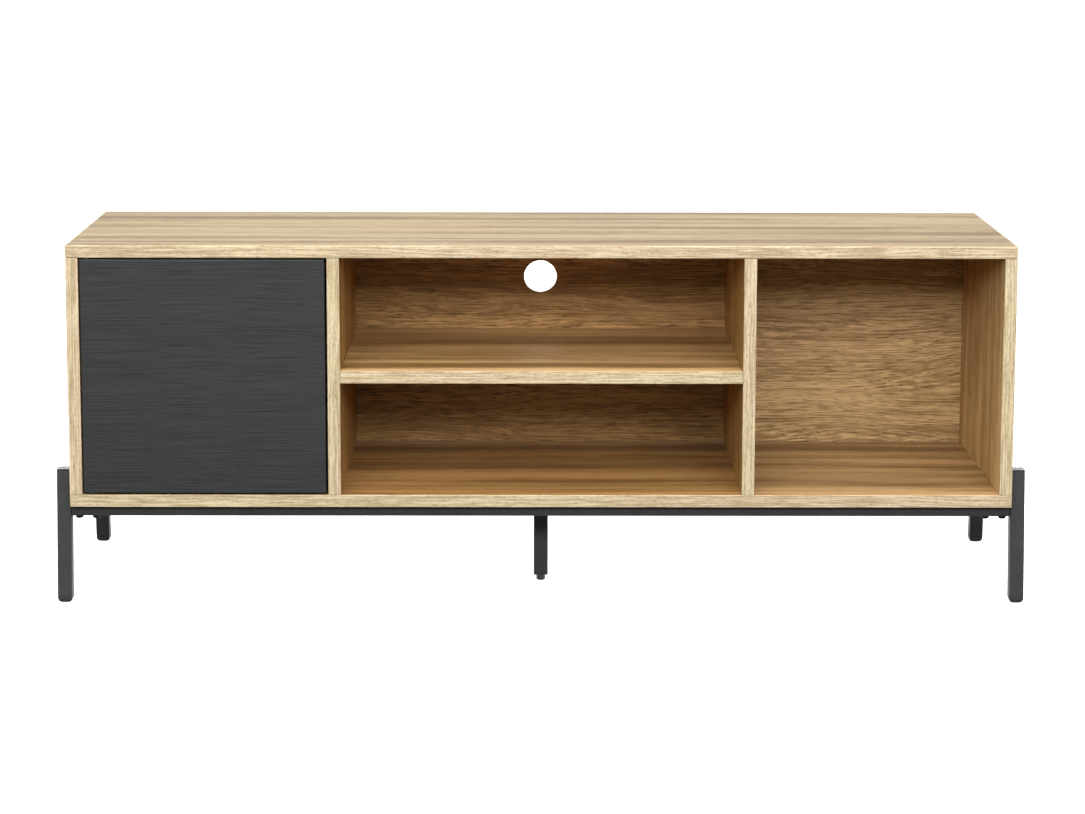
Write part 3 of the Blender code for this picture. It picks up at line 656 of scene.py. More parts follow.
def coat(node, finish):
    """Leave a node as it is in the frame, with a finish of its own."""
    frame["nodes"][node].data.materials[0] = finish_named(finish)


def middle_of(node):
    low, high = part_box(node)
    return (low + high) / 2


def size_of(node):
    low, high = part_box(node)
    return high - low


def above(node):
    """The place on the floor plane under a node's middle."""
    middle = middle_of(node)
    return Matrix.Translation((middle.x, middle.y, 0.0))


def backwards_from(node):
    """The middle of a node's front face, with Z turned to point back."""
    middle = middle_of(node)
    return Matrix.Translation((middle.x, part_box(node)[0].y, middle.z)) @ ALONG_Y


# ---------------------------------------------------------------------------
# Boards
# ---------------------------------------------------------------------------


def sink_seam(bm, axis, seam, low, high, thin_reach, groove):
    """Press the loop of points at a band's seam a little into the board."""
    for vert in bm.verts:
        if abs(vert.co[axis] - seam) > SEAM:
            continue
        for side in (X, Y, Z):
            if side == axis:
                continue
            if vert.co[side] - low[side] < thin_reach:
                vert.co[side] += groove
            elif high[side] - vert.co[side] < thin_reach:
                vert.co[side] -= groove


def banded_board(sizes, name, node, finishes, bands, arris, bay=None):
    """A board with rounded arrises, and a band with its fine joint on each banded edge.

    bands holds (axis, side, finish) for each banded edge. Where bay gives an (axis, side), that
    half of the board has the second of the finishes.
    """
    finishes = [*finishes]
    low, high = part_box(node)
    bm = bmesh.new()
    whole = Matrix.Translation((low + high) / 2) @ Matrix.Diagonal((*(high - low), 1.0))
    bmesh.ops.create_cube(bm, size=1.0, matrix=whole)
    bmesh.ops.bevel(bm, geom=bm.edges[:], offset=arris, segments=4, profile=0.5, affect="EDGES")
    half_joint = sizes.band_groove / 2
    for axis, side, _ in bands:
        edge = high[axis] if side > 0 else low[axis]
        seam = edge - side * (sizes.band_thickness + arris)
        normal = Vector(along(axis, 1.0, 0.0))
        for shift in (-half_joint, 0.0, half_joint):
            whole = bm.verts[:] + bm.edges[:] + bm.faces[:]
            place = normal * (seam + shift)
            bmesh.ops.bisect_plane(bm, geom=whole, plane_co=place, plane_no=normal)
        sink_seam(bm, axis, seam, low, high, arris, sizes.band_groove)
    if bay:
        axis, side = bay
        middle = (low[axis] + high[axis]) / 2
        for face in bm.faces:
            if (face.calc_center_median()[axis] - middle) * side > 0.0:
                face.material_index = 1
    limit = sizes.band_thickness + arris
    for axis, side, finish in bands:
        if finish not in finishes:
            finishes.append(finish)
        edge = high[axis] if side > 0 else low[axis]
        for face in bm.faces:
            if (edge - face.calc_center_median()[axis]) * side < limit:
                face.material_index = finishes.index(finish)
    return piece(name, bm, finishes, "cabinet", [node])


def back_board(name, node, sizes):
    """The back panel, a plain board with a rounded hole for cables."""
    low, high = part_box(node)
    front, rear = low.y, high.y
    hole_height = (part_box("middle_shelf")[1].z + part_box("top_panel")[0].z) / 2
    centre = Vector((0.0, hole_height))
    arris = sizes.board_arris
    corners = [
        math.atan2(z - centre.y, x - centre.x) for x in (low.x, high.x) for z in (low.z, high.z)
    ]
    steps = [2.0 * math.pi * step / HOLE_POINTS - math.pi for step in range(HOLE_POINTS)]
    angles = sorted(steps + corners)

    def border(angle, inset):
        across, rise = math.cos(angle), math.sin(angle)
        limit_x = (high.x if across > 0 else low.x) - centre.x - math.copysign(inset, across)
        limit_z = (high.z if rise > 0 else low.z) - centre.y - math.copysign(inset, rise)
        reach = min(
            limit_x / across if abs(across) > SEAM else math.inf,
            limit_z / rise if abs(rise) > SEAM else math.inf,
        )
        return centre.x + reach * across, centre.y + reach * rise

    def rim(angle, radius):
        return centre.x + radius * math.cos(angle), centre.y + radius * math.sin(angle)

    def ring(point_at, amount, depth):
        points = [point_at(angle, amount) for angle in angles]
        return [Vector((x, depth, z)) for x, z in points]

    rings = [
        ring(border, arris, front),
        ring(border, 0.0, front + arris),
        ring(border, 0.0, rear - arris),
        ring(border, arris, rear),
    ]
    for inset, rise in reversed(quarter_round(arris)):
        rings.append(ring(rim, sizes.hole_radius + inset, rear - arris + rise))
    for inset, rise in quarter_round(arris):
        rings.append(ring(rim, sizes.hole_radius + inset, front + arris - rise))
    bm = bmesh.new()
    loft(bm, rings, closed=True)
    bmesh.ops.remove_doubles(bm, verts=bm.verts, dist=SEAM)
    for face in bm.faces:
        if face.calc_center_median().y > (front + rear) / 2:
            face.material_index = 1
    return piece(name, bm, ["bay_back", "oak_back"], "cabinet", [node])


class STAND_OT_boards(Operator):
    """Make the cabinet's boards, with their edge bands, and the back panel with its cable hole"""

    bl_idname = "stand.boards"
    bl_label = "Boards"

    def execute(self, context):
        sizes = context.scene.stand_sizes
        arris = sizes.board_arris
        ends = [(Y, -1, "band_z"), (Y, 1, "band_z")]
        all_round = [(Y, -1, "band_x"), (Y, 1, "band_x"), (X, -1, "band_y"), (X, 1, "band_y")]
        looks = ["oak_level", "bay_shelf"]
        banded_board(sizes, "top_board", "top_panel", looks, all_round, sizes.top_arris, (Z, -1))
        looks = ["oak_level", "bay_floor"]
        banded_board(sizes, "bottom_board", "bottom_panel", looks, all_round, arris, (Z, 1))
        for side, sign in SIDES:
            names = f"{side}_side_board", f"{side}_side_panel"
            banded_board(sizes, *names, ["oak_upright", "bay_side"], ends, arris, (X, -sign))
            names = f"{side}_divider_board", f"{side}_divider"
            banded_board(sizes, *names, ["bay_divider"], ends[:1], arris)
        banded_board(sizes, "shelf_board", "middle_shelf", ["bay_shelf"], all_round[:1], arris)
        back_board("back_board", "back_panel", sizes)
        return {"FINISHED"}


# ---------------------------------------------------------------------------
# Door
# ---------------------------------------------------------------------------


class STAND_OT_door(Operator):
    """Make the door with its embossed foil, its two pins and its strike plate"""

    bl_idname = "stand.door"
    bl_label = "Door"

    def execute(self, context):
        sizes = context.scene.stand_sizes
        size = size_of("door_panel")
        front_round = sizes.door_round
        back_round = front_round / 3
        edges = front_round, back_round
        bm = bmesh.new()
        loft(bm, eased_block(size.x, size.z, size.y, sum(edges), edges, shrink=1.0))
        facing_front = Matrix.Translation(middle_of("door_panel")) @ UPRIGHT
        plain_piece("door_leaf", bm, "charcoal_foil", "door_panel", facing_front, "door")
        for place, turn in (("upper", Matrix.Identity(4)), ("lower", POINTING_DOWN)):
            self.make_pin(place, turn)
        self.make_strike_plate()
        return {"FINISHED"}

    def make_pin(self, place, turn):
        """A plated pivot pin with chamfered ends and a shallow groove that keeps it in the door."""
        node = f"{place}_pivot_pin"
        size = size_of(node)
        radius = size.x / 2
        half = size.z / 2
        chamfer = radius / 4
        groove = radius / 6
        profile = [
            (radius - chamfer, -half),
            (radius, chamfer - half),
            (radius, -half / 2 - groove),
            (radius - groove, -half / 2),
            (radius, -half / 2 + groove),
            (radius, half - chamfer),
            (radius - chamfer, half),
        ]
        at = Matrix.Translation(middle_of(node)) @ turn
        turned_piece(f"{place}_door_pin", profile, "zinc_steel", node, at, "door")

    def make_strike_plate(self):
        """A round steel plate on the door's back, countersunk for its screw."""
        node = "strike_plate"
        size = size_of(node)
        radius = size.x / 2
        thickness = size.y
        edge = 0.0004
        hole = radius / 4.4
        sink = thickness * 0.9
        profile = [(radius, 0.0)]
        flat = thickness - edge
        profile += [(radius - inset, flat + rise) for inset, rise in quarter_round(edge)]
        profile += [(hole + sink, thickness), (hole, thickness - sink), (hole, 0.0)]
        at = backwards_from(node)
        turned_piece("strike_disc", profile, "zinc_steel", node, at, "door", closed=True)


class STAND_OT_bushes(Operator):
    """Make the flanged plastic bushes that the door's pins turn in"""

    bl_idname = "stand.bushes"
    bl_label = "Pivot bushes"

    flange = 0.0014
    sleeve_wall = 0.0012

    def execute(self, context):
        flange = self.flange
        rounding = flange / 3
        for place, turn in (("upper", POINTING_DOWN), ("lower", Matrix.Identity(4))):
            node = f"{place}_pivot_bush"
            size = size_of(node)
            top = size.z / 2
            outer = size.x / 2
            sleeve = outer - flange
            bore = sleeve - self.sleeve_wall
            profile = [(bore, -top), (sleeve - rounding, -top), (sleeve, rounding - top)]
            profile += [(sleeve, top - flange), (outer, top - flange)]
            flat = top - rounding
            profile += [(outer - inset, flat + rise) for inset, rise in quarter_round(rounding)]
            profile += [(bore + rounding, top), (bore, top - rounding)]
            at = Matrix.Translation(middle_of(node)) @ turn
            turned_piece(f"{place}_bush", profile, "black_plastic", node, at, closed=True)
        return {"FINISHED"}


# ---------------------------------------------------------------------------
# Push latch
# ---------------------------------------------------------------------------


class STAND_OT_latch(Operator):
    """Make the magnetic push latch: its ribbed housing, its plunger and its magnet"""

    bl_idname = "stand.latch"
    bl_label = "Push latch"

    case_edge = 0.0008
    ear_width = 0.010
    ear_thickness = 0.003
    ear_corner = 0.002
    ear_hole = 0.0018
    rib_pitch = 0.004
    rib = 0.0006
    rod_edge = 0.0006
    magnet_edge = 0.0004

    def execute(self, context):
        self.make_housing()
        self.make_plunger()
        self.make_magnet()
        return {"FINISHED"}

    def make_housing(self):
        """A box with a blind bore in its front, ears beside it and ribs below."""
        node = "latch_housing"
        middle = middle_of(node)
        bore = size_of("latch_plunger").x / 2 + SLIP
        size = size_of(node) - Vector((2 * self.ear_width, 0.0, 0.0))
        edge = self.case_edge
        block = eased_block(size.x, size.z, size.y, 2 * edge, (edge, edge))
        rings = [[Vector((p.x, p.z, p.y)) for p in ring] for ring in block]
        axis = middle_of("latch_plunger") - middle
        for radius, depth in ((bore + edge, 0.0), (bore, edge), (bore, size.y * 0.86)):
            mouth = circle(radius, len(rings[0]))
            y = depth - size.y / 2
            rings.append([Vector((axis.x + p.x, y, axis.z + p.y)) for p in mouth])
        bm = bmesh.new()
        loft(bm, rings)
        self.add_ears(bm, size)
        self.add_ribs(bm, size)
        plain_piece("latch_case", bm, "black_plastic", node, Matrix.Translation(middle))

    def add_ears(self, bm, size):
        """Two flat ears with screw holes, level with the housing's top."""
        top = size.z / 2
        bottom = top - self.ear_thickness
        plate = rounded_rectangle(self.ear_width, size.y, self.ear_corner)
        hole = circle(self.ear_hole, len(plate))
        run = (plate, bottom), (plate, top), (hole, top), (hole, bottom)
        for _, side in SIDES:
            x = side * (size.x + self.ear_width) / 2
            loft(bm, [[Vector((p.x + x, p.y, z)) for p in line] for line, z in run], closed=True)

    def add_ribs(self, bm, size):
        """Shallow ribs across the bottom."""
        rib = self.rib
        count = int(size.y * 0.6 / self.rib_pitch)
        outline = rounded_rectangle(size.x - 2 * rib, rib * 2, rib * 0.9)
        for index in range(count):
            y = (index - (count - 1) / 2) * self.rib_pitch
            levels = rib / 2 - size.z / 2, -size.z / 2
            loft(bm, [[Vector((p.x, y + p.y, z)) for p in outline] for z in levels])

    def make_plunger(self):
        """A rod with a shallow waist."""
        node = "latch_plunger"
        size = size_of(node)
        radius, length = size.x / 2, size.y
        waist = radius * 0.9
        edge = self.rod_edge
        profile = [(radius - inset, edge - rise) for inset, rise in reversed(quarter_round(edge))]
        profile += [(radius, length * 0.3), (waist, length * 0.32), (waist, length * 0.36)]
        profile += [(radius, length * 0.38), (radius, length - edge), (radius - edge, length)]
        at = backwards_from(node)
        turned_piece("latch_rod_pin", profile, "white_nylon", node, at, "latch_rod")

    def make_magnet(self):
        """A cup magnet: a steel rim round a slightly sunk face."""
        node = "latch_magnet"
        size = size_of(node)
        radius, depth = size.x / 2, size.y
        edge = self.magnet_edge
        profile = [(radius * 0.72, edge / 2), (radius * 0.76, 0.0), (radius - edge, 0.0)]
        profile += [(radius, edge), (radius, depth - edge), (radius - edge, depth)]
        at = backwards_from(node)
        turned_piece("latch_cup_magnet", profile, "black_steel", node, at, "latch_rod")


# ---------------------------------------------------------------------------
# Base
# ---------------------------------------------------------------------------


def leg_slope():
    """How far a leg leans for each metre of height, read from its box."""
    size = size_of("front_left_leg")
    return (size.y - size.x) / size.z


def leg_place(node, sign):
    """Where a leg's shape goes: leaned towards the middle, over its spot on the floor."""
    middle = middle_of(node)
    slope = sign * leg_slope()
    lean = Matrix.Identity(4)
    lean[Y][Z] = -slope
    return Matrix.Translation((middle.x, middle.y + slope * middle.z, 0.0)) @ lean


def plug_rings(size, corner, seam, end):
    """Rings of a moulded end from its seam with the tube to the end of its plug."""
    inner = size - PLUG_PLAY
    plug = rounded_rectangle(inner, inner, corner / 2)
    shell = rounded_rectangle(size, size, corner)
    return [at_height(shell, seam), at_height(plug, seam), at_height(plug, end)]


def rounded_end(size, corner, outer, seam, draw, plug):
    """A moulded end for a tube: it draws in on its outer side, with a plug on its inner side.

    draw holds how far it draws in and over what height, and plug is the plug's length.
    """
    way = math.copysign(1.0, seam - outer)
    deepest, tallest = draw
    rings = []
    for inset, rise in reversed(quarter_round(1.0, 8)):
        inset, rise = inset * deepest, rise * tallest
        outline = rounded_rectangle(size - 2 * inset, size - 2 * inset, corner + inset * 0.55)
        rings.append(at_height(outline, outer + way * (tallest - rise)))
    bm = bmesh.new()
    loft(bm, rings + plug_rings(size, corner, seam, seam + way * plug))
    return bm


class STAND_OT_legs(Operator):
    """Make the four leaning legs with their glides and caps"""

    bl_idname = "stand.legs"
    bl_label = "Legs"

    plug = 0.012

    def execute(self, context):
        sizes = context.scene.stand_sizes
        for side, _ in SIDES:
            for end, sign in ENDS:
                self.make_leg(f"{end}_{side}", sign, sizes)
        return {"FINISHED"}

    def make_leg(self, label, sign, sizes):
        node = label + "_leg"
        place = leg_place(node, sign)
        low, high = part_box(node)
        width = high.x - low.x
        tube = square_tube(width, sizes, low.z, high.z)
        plain_piece(label + "_leg_tube", tube, COAT, node, place)

        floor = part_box(label + "_glide")[0].z
        draw = sizes.glide_inset, sizes.glide_rise
        pad = rounded_end(width, sizes.tube_corner, floor, low.z - SLIP, draw, self.plug)
        plain_piece(label + "_pad", pad, "black_plastic", label + "_glide", place)

        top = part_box(label + "_cap")[1].z
        draw = sizes.cap_round, sizes.cap_round
        lid = rounded_end(width, sizes.tube_corner, top, high.z + SLIP, draw, self.plug)
        nodes = [label + "_cap"]
        piece(label + "_lid", lid, ["gloss_plastic"], "cabinet", nodes, place)


class STAND_OT_rails(Operator):
    """Make the two rails and the two cross bars, and give the tongues their finish"""

    bl_idname = "stand.rails"
    bl_label = "Rails and cross bars"

    def execute(self, context):
        sizes = context.scene.stand_sizes
        for end, _ in ENDS:
            node = f"{end}_rail"
            size = size_of(node)
            tube = square_tube(size.z, sizes, -size.x / 2, size.x / 2)
            at = Matrix.Translation(middle_of(node)) @ ALONG_X
            plain_piece(f"{end}_rail_tube", tube, COAT, node, at)
            for side, _ in SIDES:
                coat(f"{end}_{side}_tongue", "black_steel")
        for side, _ in SIDES:
            self.make_cross_bar(side, sizes)
        return {"FINISHED"}

    def make_cross_bar(self, side, sizes):
        """A tube whose ends are cut to the legs' lean."""
        node = f"{side}_cross_bar"
        size = size_of(node)
        slope = leg_slope()
        bm = square_tube(size.z, sizes, -size.y / 2, size.y / 2)
        bm.transform(ALONG_Y)
        for vert in bm.verts:
            reach = abs(vert.co.y) - (vert.co.z + size.z / 2) * slope
            vert.co.y = math.copysign(reach, vert.co.y)
        plain_piece(f"{side}_bar_tube", bm, COAT, node, Matrix.Translation(middle_of(node)))


# ---------------------------------------------------------------------------
# Centre leg
# ---------------------------------------------------------------------------


def threaded_rod(radius, depth, pitch, low, high):
    """Rings of points up a rod whose radius follows a helix, plain at both ends."""
    rings = []
    steps = int((high - low) / pitch * 8)
    for step in range(steps + 1):
        height = low + (high - low) * step / steps
        fade = min(1.0, step / 6, (steps - step) / 6)
        ring = []
        for index in range(TURNED_POINTS):
            turn = (index + 0.5) / TURNED_POINTS
            phase = ((height - low) / pitch - turn) % 1.0
            valley = abs(2.0 * phase - 1.0)
            reach = radius - depth * (1.0 - fade * valley)
            angle = 2.0 * math.pi * turn
            ring.append(Vector((reach * math.cos(angle), reach * math.sin(angle), height)))
        rings.append(ring)
    return rings


class STAND_OT_centre_leg(Operator):
    """Make the middle leg: its plate, its tube, its plug and its levelling foot"""

    bl_idname = "stand.centre_leg"
    bl_label = "Centre leg"

    stem = 0.004
    stem_play = 0.0004
    plate_corner = 0.004
    foot_rim = 0.0004
    thread_lift = 0.0001

    def execute(self, context):
        sizes = context.scene.stand_sizes
        self.make_plate()
        low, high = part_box("centre_leg")
        tube = square_tube(high.x - low.x, sizes, low.z, high.z)
        plain_piece("centre_tube", tube, COAT, "centre_leg", above("centre_leg"))
        self.make_plug(sizes)
        self.make_foot(sizes)
        return {"FINISHED"}

    def make_plate(self):
        node = "centre_leg_plate"
        size = size_of(node)
        edge = size.z / 4
        bm = bmesh.new()
        loft(bm, eased_block(size.x, size.y, size.z, self.plate_corner, (edge, edge), steps=3))
        plain_piece("centre_plate", bm, COAT, node, Matrix.Translation(middle_of(node)))

    def make_plug(self, sizes):
        """The plug in the tube's foot, bored for the stem of the levelling foot."""
        node = "centre_leg_plug"
        low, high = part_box(node)
        width = high.x - low.x
        corner = sizes.tube_corner
        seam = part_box("centre_leg")[0].z - SLIP
        edge = (seam - low.z) / 2
        rings = []
        for inset, rise in reversed(quarter_round(edge)):
            outline = rounded_rectangle(width - 2 * inset, width - 2 * inset, corner)
            rings.append(at_height(outline, low.z + edge - rise))
        bore = circle(self.stem + self.stem_play, len(rings[0]))
        rings += plug_rings(width, corner, seam, high.z)
        rings += [at_height(bore, high.z), at_height(bore, low.z)]
        bm = bmesh.new()
        loft(bm, rings, closed=True)
        plain_piece("centre_plug", bm, "black_plastic", node, above(node))

    def make_foot(self, sizes):
        """A round moulded foot on a threaded stem."""
        node = "levelling_foot"
        low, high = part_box(node)
        radius = (high.x - low.x) / 2
        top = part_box("centre_leg_plug")[0].z - SLIP
        edge = radius * 0.39
        rounding = quarter_round(edge)
        profile = [(radius - edge * 1.2, low.z + self.foot_rim), (radius - edge, low.z)]
        profile += [(radius - inset, low.z + edge - rise) for inset, rise in reversed(rounding)]
        profile += [(radius - inset, top - edge + rise) for inset, rise in rounding]
        rings = [at_height(circle(reach), height) for reach, height in profile]
        pitch = sizes.thread_pitch
        rings += threaded_rod(self.stem, pitch / 2, pitch, top + self.thread_lift, high.z)
        bm = bmesh.new()
        loft(bm, rings)
        plain_piece("screw_foot", bm, "black_plastic", node, above(node), "foot")


# ---------------------------------------------------------------------------
# Fixings, which repeat
# ---------------------------------------------------------------------------


class GeometryTree(Nodes):
    """A Geometry Nodes tree with named inputs."""

    def __init__(self, name):
        super().__init__(bpy.data.node_groups.new(name, "GeometryNodeTree"))
        self.tree.is_modifier = True
        self.add_socket("Geometry", "INPUT", "Geometry")
        self.add_socket("Geometry", "OUTPUT", "Geometry")
        self.entry = self.tree.nodes.new("NodeGroupInput")
        self.exit = self.tree.nodes.new("NodeGroupOutput")

    def add_socket(self, name, way, kind):
        kind = "NodeSocket" + kind
        return self.tree.interface.new_socket(name=name, in_out=way, socket_type=kind)

    def knob(self, name, kind, default=None):
        """Add a named input and return its wire."""
        socket = self.add_socket(name, "INPUT", kind)
        if default is not None:
            socket.default_value = default
        return self.given(name)

    def given(self, name):
        return Wire(self, self.entry.outputs[name])

    def spot(self, x=0.0, y=0.0, z=0.0):
        return self.node("ShaderNodeCombineXYZ", None, {"X": x, "Y": y, "Z": z})

    def swept(self, start, end, profile, count=14, sides=40):
        """A turned solid along Z from a start to an end height, whose radius is profile(share)."""
        ends = {"Start": self.spot(z=start), "End": self.spot(z=end)}
        line = self.node("GeometryNodeCurvePrimitiveLine", None, ends)
        points = self.node("GeometryNodeResampleCurve", None, {"Curve": line, "Count": count})
        share = self.node("GeometryNodeSplineParameter")
        shape = {"Resolution": sides, "Radius": 1.0}
        ring = self.node("GeometryNodeCurvePrimitiveCircle", None, shape)
        sweep = {"Curve": points, "Profile Curve": ring, "Scale": profile(share)}
        return self.node("GeometryNodeCurveToMesh", None, sweep | {"Fill Caps": True})

    def random(self, low, high, seed):
        """A random number for each instance."""
        limits = {"Min_001": low, "Max_001": high, "Seed": seed}
        return self.node("FunctionNodeRandomValue", {"data_type": "FLOAT"}, limits, output=1)

    def close(self, made, finish):
        """Realize the instances, give them their finish and end the tree."""
        solid = self.node("GeometryNodeRealizeInstances", None, {"Geometry": made})
        coated = self.node("GeometryNodeSetMaterial", None, {"Geometry": solid, "Material": finish})
        self.tree.links.new(coated.socket, self.exit.inputs["Geometry"])
        return self.tree


def fastener_tree(name, hexagonal):
    """A bolt or a screw on every point: a domed head with its recess, a shank and a thread."""
    build = GeometryTree(name)
    make = build.node
    head_radius = build.knob("Head Radius", "Float", 0.0057)
    head_height = build.knob("Head Height", "Float", 0.004)
    shank_radius = build.knob("Shank Radius", "Float", 0.003)
    shank_length = build.knob("Shank Length", "Float", 0.02)
    pitch = build.knob("Thread Pitch", "Float", 0.001)
    recess_width = build.knob("Recess Width", "Float", 0.004)
    tip_share = build.knob("Tip Share", "Float", 0.06)
    facing = build.knob("Facing", "Vector", (0.0, 0.0, 0.0))
    turn = build.knob("Turn", "Float", 3.0)
    seed = build.knob("Seed", "Int", 7)
    finish = build.knob("Finish", "Material")
    thread_height = pitch * 0.30
    core = shank_radius - thread_height

    def dome(share):
        return head_radius * (1.0 - share**4.0 * 0.30)

    def shank(share):
        point = ((1.0 - share) / tip_share).least(1.0)
        return core * (point * 0.75 + 0.25)

    def recess(kind, shape):
        tool = make(kind, None, shape)
        sunk = {"Geometry": tool, "Translation": build.spot(z=0.0 - head_height)}
        return make("GeometryNodeTransform", None, sunk)

    head = build.swept(0.0, 0.0 - head_height, dome)
    depth = head_height * 1.1
    if hexagonal:
        shape = {"Vertices": 6, "Radius": recess_width / HEX_RATIO, "Depth": depth}
        tools = [recess("GeometryNodeMeshCylinder", shape)]
    else:
        slot = recess_width / 4.2
        spans = (recess_width, slot), (slot, recess_width)
        sizes = [build.spot(*span, depth) for span in spans]
        tools = [recess("GeometryNodeMeshCube", {"Size": size}) for size in sizes]
    carving = {"operation": "DIFFERENCE", "solver": "EXACT"}
    cut = make("GeometryNodeMeshBoolean", carving, {"Mesh 1": head, "Mesh 2": tools})
    body = build.swept(0.0, shank_length, shank, count=24, sides=24)
    threaded = shank_length * (1.0 - tip_share)
    helix = {"Resolution": 20, "Rotations": threaded / pitch, "Height": threaded}
    helix |= {"Start Radius": core, "End Radius": core}
    spiral = make("GeometryNodeCurveSpiral", None, helix)
    diamond = {"Resolution": 4, "Radius": thread_height}
    rib = make("GeometryNodeCurvePrimitiveCircle", None, diamond)
    sweep = {"Curve": spiral, "Profile Curve": rib, "Fill Caps": True}
    thread = make("GeometryNodeCurveToMesh", None, sweep)
    whole = make("GeometryNodeJoinGeometry", None, {"Geometry": [cut, body, thread]})
    spin = build.spot(z=build.random(0.0, turn, seed))
    layout = {"Points": build.given("Geometry"), "Instance": whole, "Rotation": facing}
    placed = make("GeometryNodeInstanceOnPoints", None, layout)
    twist = {"Instances": placed, "Rotation": spin, "Local Space": True}
    return build.close(make("GeometryNodeRotateInstances", None, twist), finish)


def weld_tree(name):
    """A rippled weld bead along every loop of edges."""
    build = GeometryTree(name)
    width = build.knob("Width", "Float", 0.0016)
    pitch = build.knob("Pitch", "Float", 0.0009)
    unevenness = build.knob("Unevenness", "Float", 0.16)
    seed = build.knob("Seed", "Int", 3)
    finish = build.knob("Finish", "Material")
    loops = build.node("GeometryNodeMeshToCurve", None, {"Mesh": build.given("Geometry")})
    spacing = {"Curve": loops, "Length": pitch}
    points = build.node("GeometryNodeResampleCurve", {"mode": "LENGTH"}, spacing)
    drop = build.node("GeometryNodeMeshIcoSphere", None, {"Radius": width, "Subdivisions": 2})
    size = build.random(1.0 - unevenness, 1.0, seed)
    layout = {"Points": points, "Instance": drop, "Scale": size}
    return build.close(build.node("GeometryNodeInstanceOnPoints", None, layout), finish)


def grown(name, points, edges, tree, inputs, body, nodes):
    """Run a tree on a set of points, and make one plain mesh of what it gives."""
    mesh = bpy.data.meshes.new(name + "_points")
    mesh.from_pydata(points, edges, [])
    seeded = bpy.data.objects.new(name + "_points", mesh)
    bpy.context.scene.collection.objects.link(seeded)
    modifier = seeded.modifiers.new("grown", "NODES")
    modifier.node_group = tree
    for item in tree.interface.items_tree:
        if item.in_out == "INPUT" and item.name in inputs:
            modifier[item.identifier] = inputs[item.name]
    graph = bpy.context.evaluated_depsgraph_get()
    solid = bpy.data.meshes.new_from_object(seeded.evaluated_get(graph), depsgraph=graph)
    bpy.data.objects.remove(seeded)
    if not solid.polygons:
        raise RuntimeError(f"{name}: the tree gave no faces")
    solid.name = name
    solid.materials.clear()
    solid.materials.append(inputs["Finish"])
    return settle(name, solid, body, nodes)


class STAND_OT_fixings(Operator):
    """Put in the bolts, the wood screws and the weld beads"""

    bl_idname = "stand.fixings"
    bl_label = "Fixings and welds"

    bolt_head = 0.004
    bolt_radius = 0.003
    screw_head = 0.0022
    strike_head = 0.0013
    strike_length = 0.012

    def execute(self, context):
        sizes = context.scene.stand_sizes
        self.make_bolts(sizes)
        self.make_screws(sizes)
        self.make_welds(sizes)
        for end, _ in ENDS:
            for side, _ in SIDES:
                coat(f"{end}_{side}_insert", "zinc_steel")
        return {"FINISHED"}

    def make_bolts(self, sizes):
        """Socket-head bolts up through the rails, the inner ones into the bottom panel."""
        tree = fastener_tree("socket_bolts", hexagonal=True)
        for place in ("outer", "inner"):
            nodes = [f"{end}_{side}_{place}_bolt" for end, _ in ENDS for side, _ in SIDES]
            size = size_of(nodes[0])
            inputs = {
                "Head Radius": size.x / 2,
                "Head Height": self.bolt_head,
                "Shank Radius": self.bolt_radius,
                "Shank Length": size.z - self.bolt_head,
                "Thread Pitch": sizes.thread_pitch,
                "Recess Width": sizes.bolt_socket,
                "Tip Share": 0.05,
                "Seed": 11,
                "Finish": finish_named("black_steel"),
            }
            seats = [self.seat_above(node, self.bolt_head) for node in nodes]
            grown(f"{place}_bolts", seats, [], tree, inputs, "cabinet", nodes)

    def make_screws(self, sizes):
        """Pan-head wood screws up into the panels, and the strike plate's screw into the door."""
        tree = fastener_tree("wood_screws", hexagonal=False)
        inputs = {
            "Head Radius": 0.0032,
            "Head Height": self.screw_head,
            "Shank Radius": 0.0015,
            "Shank Length": 0.014,
            "Thread Pitch": sizes.thread_pitch,
            "Recess Width": sizes.screw_recess,
            "Tip Share": 0.22,
            "Seed": 5,
            "Finish": finish_named("zinc_steel"),
        }
        nodes = [f"{part}_screw_{side}" for part in ("latch", "plate") for side, _ in SIDES]
        seats = [self.seat_above(node, self.screw_head) for node in nodes]
        grown("panel_screws", seats, [], tree, inputs, "cabinet", nodes)
        inputs["Head Height"] = self.strike_head
        inputs["Shank Length"] = self.strike_length
        inputs["Facing"] = (math.radians(90.0), 0.0, 0.0)
        node = "strike_plate_screw"
        middle = middle_of(node)
        seat = (middle.x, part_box(node)[1].y - self.strike_head, middle.z)
        grown("strike_screw", [seat], [], tree, inputs, "door", [node])

    def seat_above(self, node, head):
        """The middle of the seat under a fixing's head, which faces down."""
        middle = middle_of(node)
        return middle.x, middle.y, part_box(node)[0].z + head

    def make_welds(self, sizes):
        """Beads round the cross bars' ends and round the top of the centre leg."""
        corner = sizes.tube_corner
        loops = []
        slope = leg_slope()
        for side, _ in SIDES:
            node = f"{side}_cross_bar"
            size, middle = size_of(node), middle_of(node)
            outline = rounded_rectangle(size.z, size.z, corner)
            for _, sign in ENDS:
                reaches = [size.y / 2 - (point.y + size.z / 2) * slope for point in outline]
                places = zip(outline, reaches)
                loops.append([middle + Vector((p.x, sign * reach, p.y)) for p, reach in places])
        low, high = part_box("centre_leg")
        outline = rounded_rectangle(high.x - low.x, high.x - low.x, corner)
        top = above("centre_leg")
        loops.append([top @ point for point in at_height(outline, high.z)])
        points, edges = [], []
        for loop in loops:
            first, count = len(points), len(loop)
            points += loop
            edges += [(first + step, first + (step + 1) % count) for step in range(count)]
        inputs = {
            "Width": sizes.weld_width * 0.75,
            "Pitch": sizes.weld_width * 0.6,
            "Finish": finish_named(COAT),
        }
        tree = weld_tree("weld_beads")
        grown("weld_beads", points, edges, tree, inputs, "cabinet", [])


# ---------------------------------------------------------------------------
# Stage
# ---------------------------------------------------------------------------


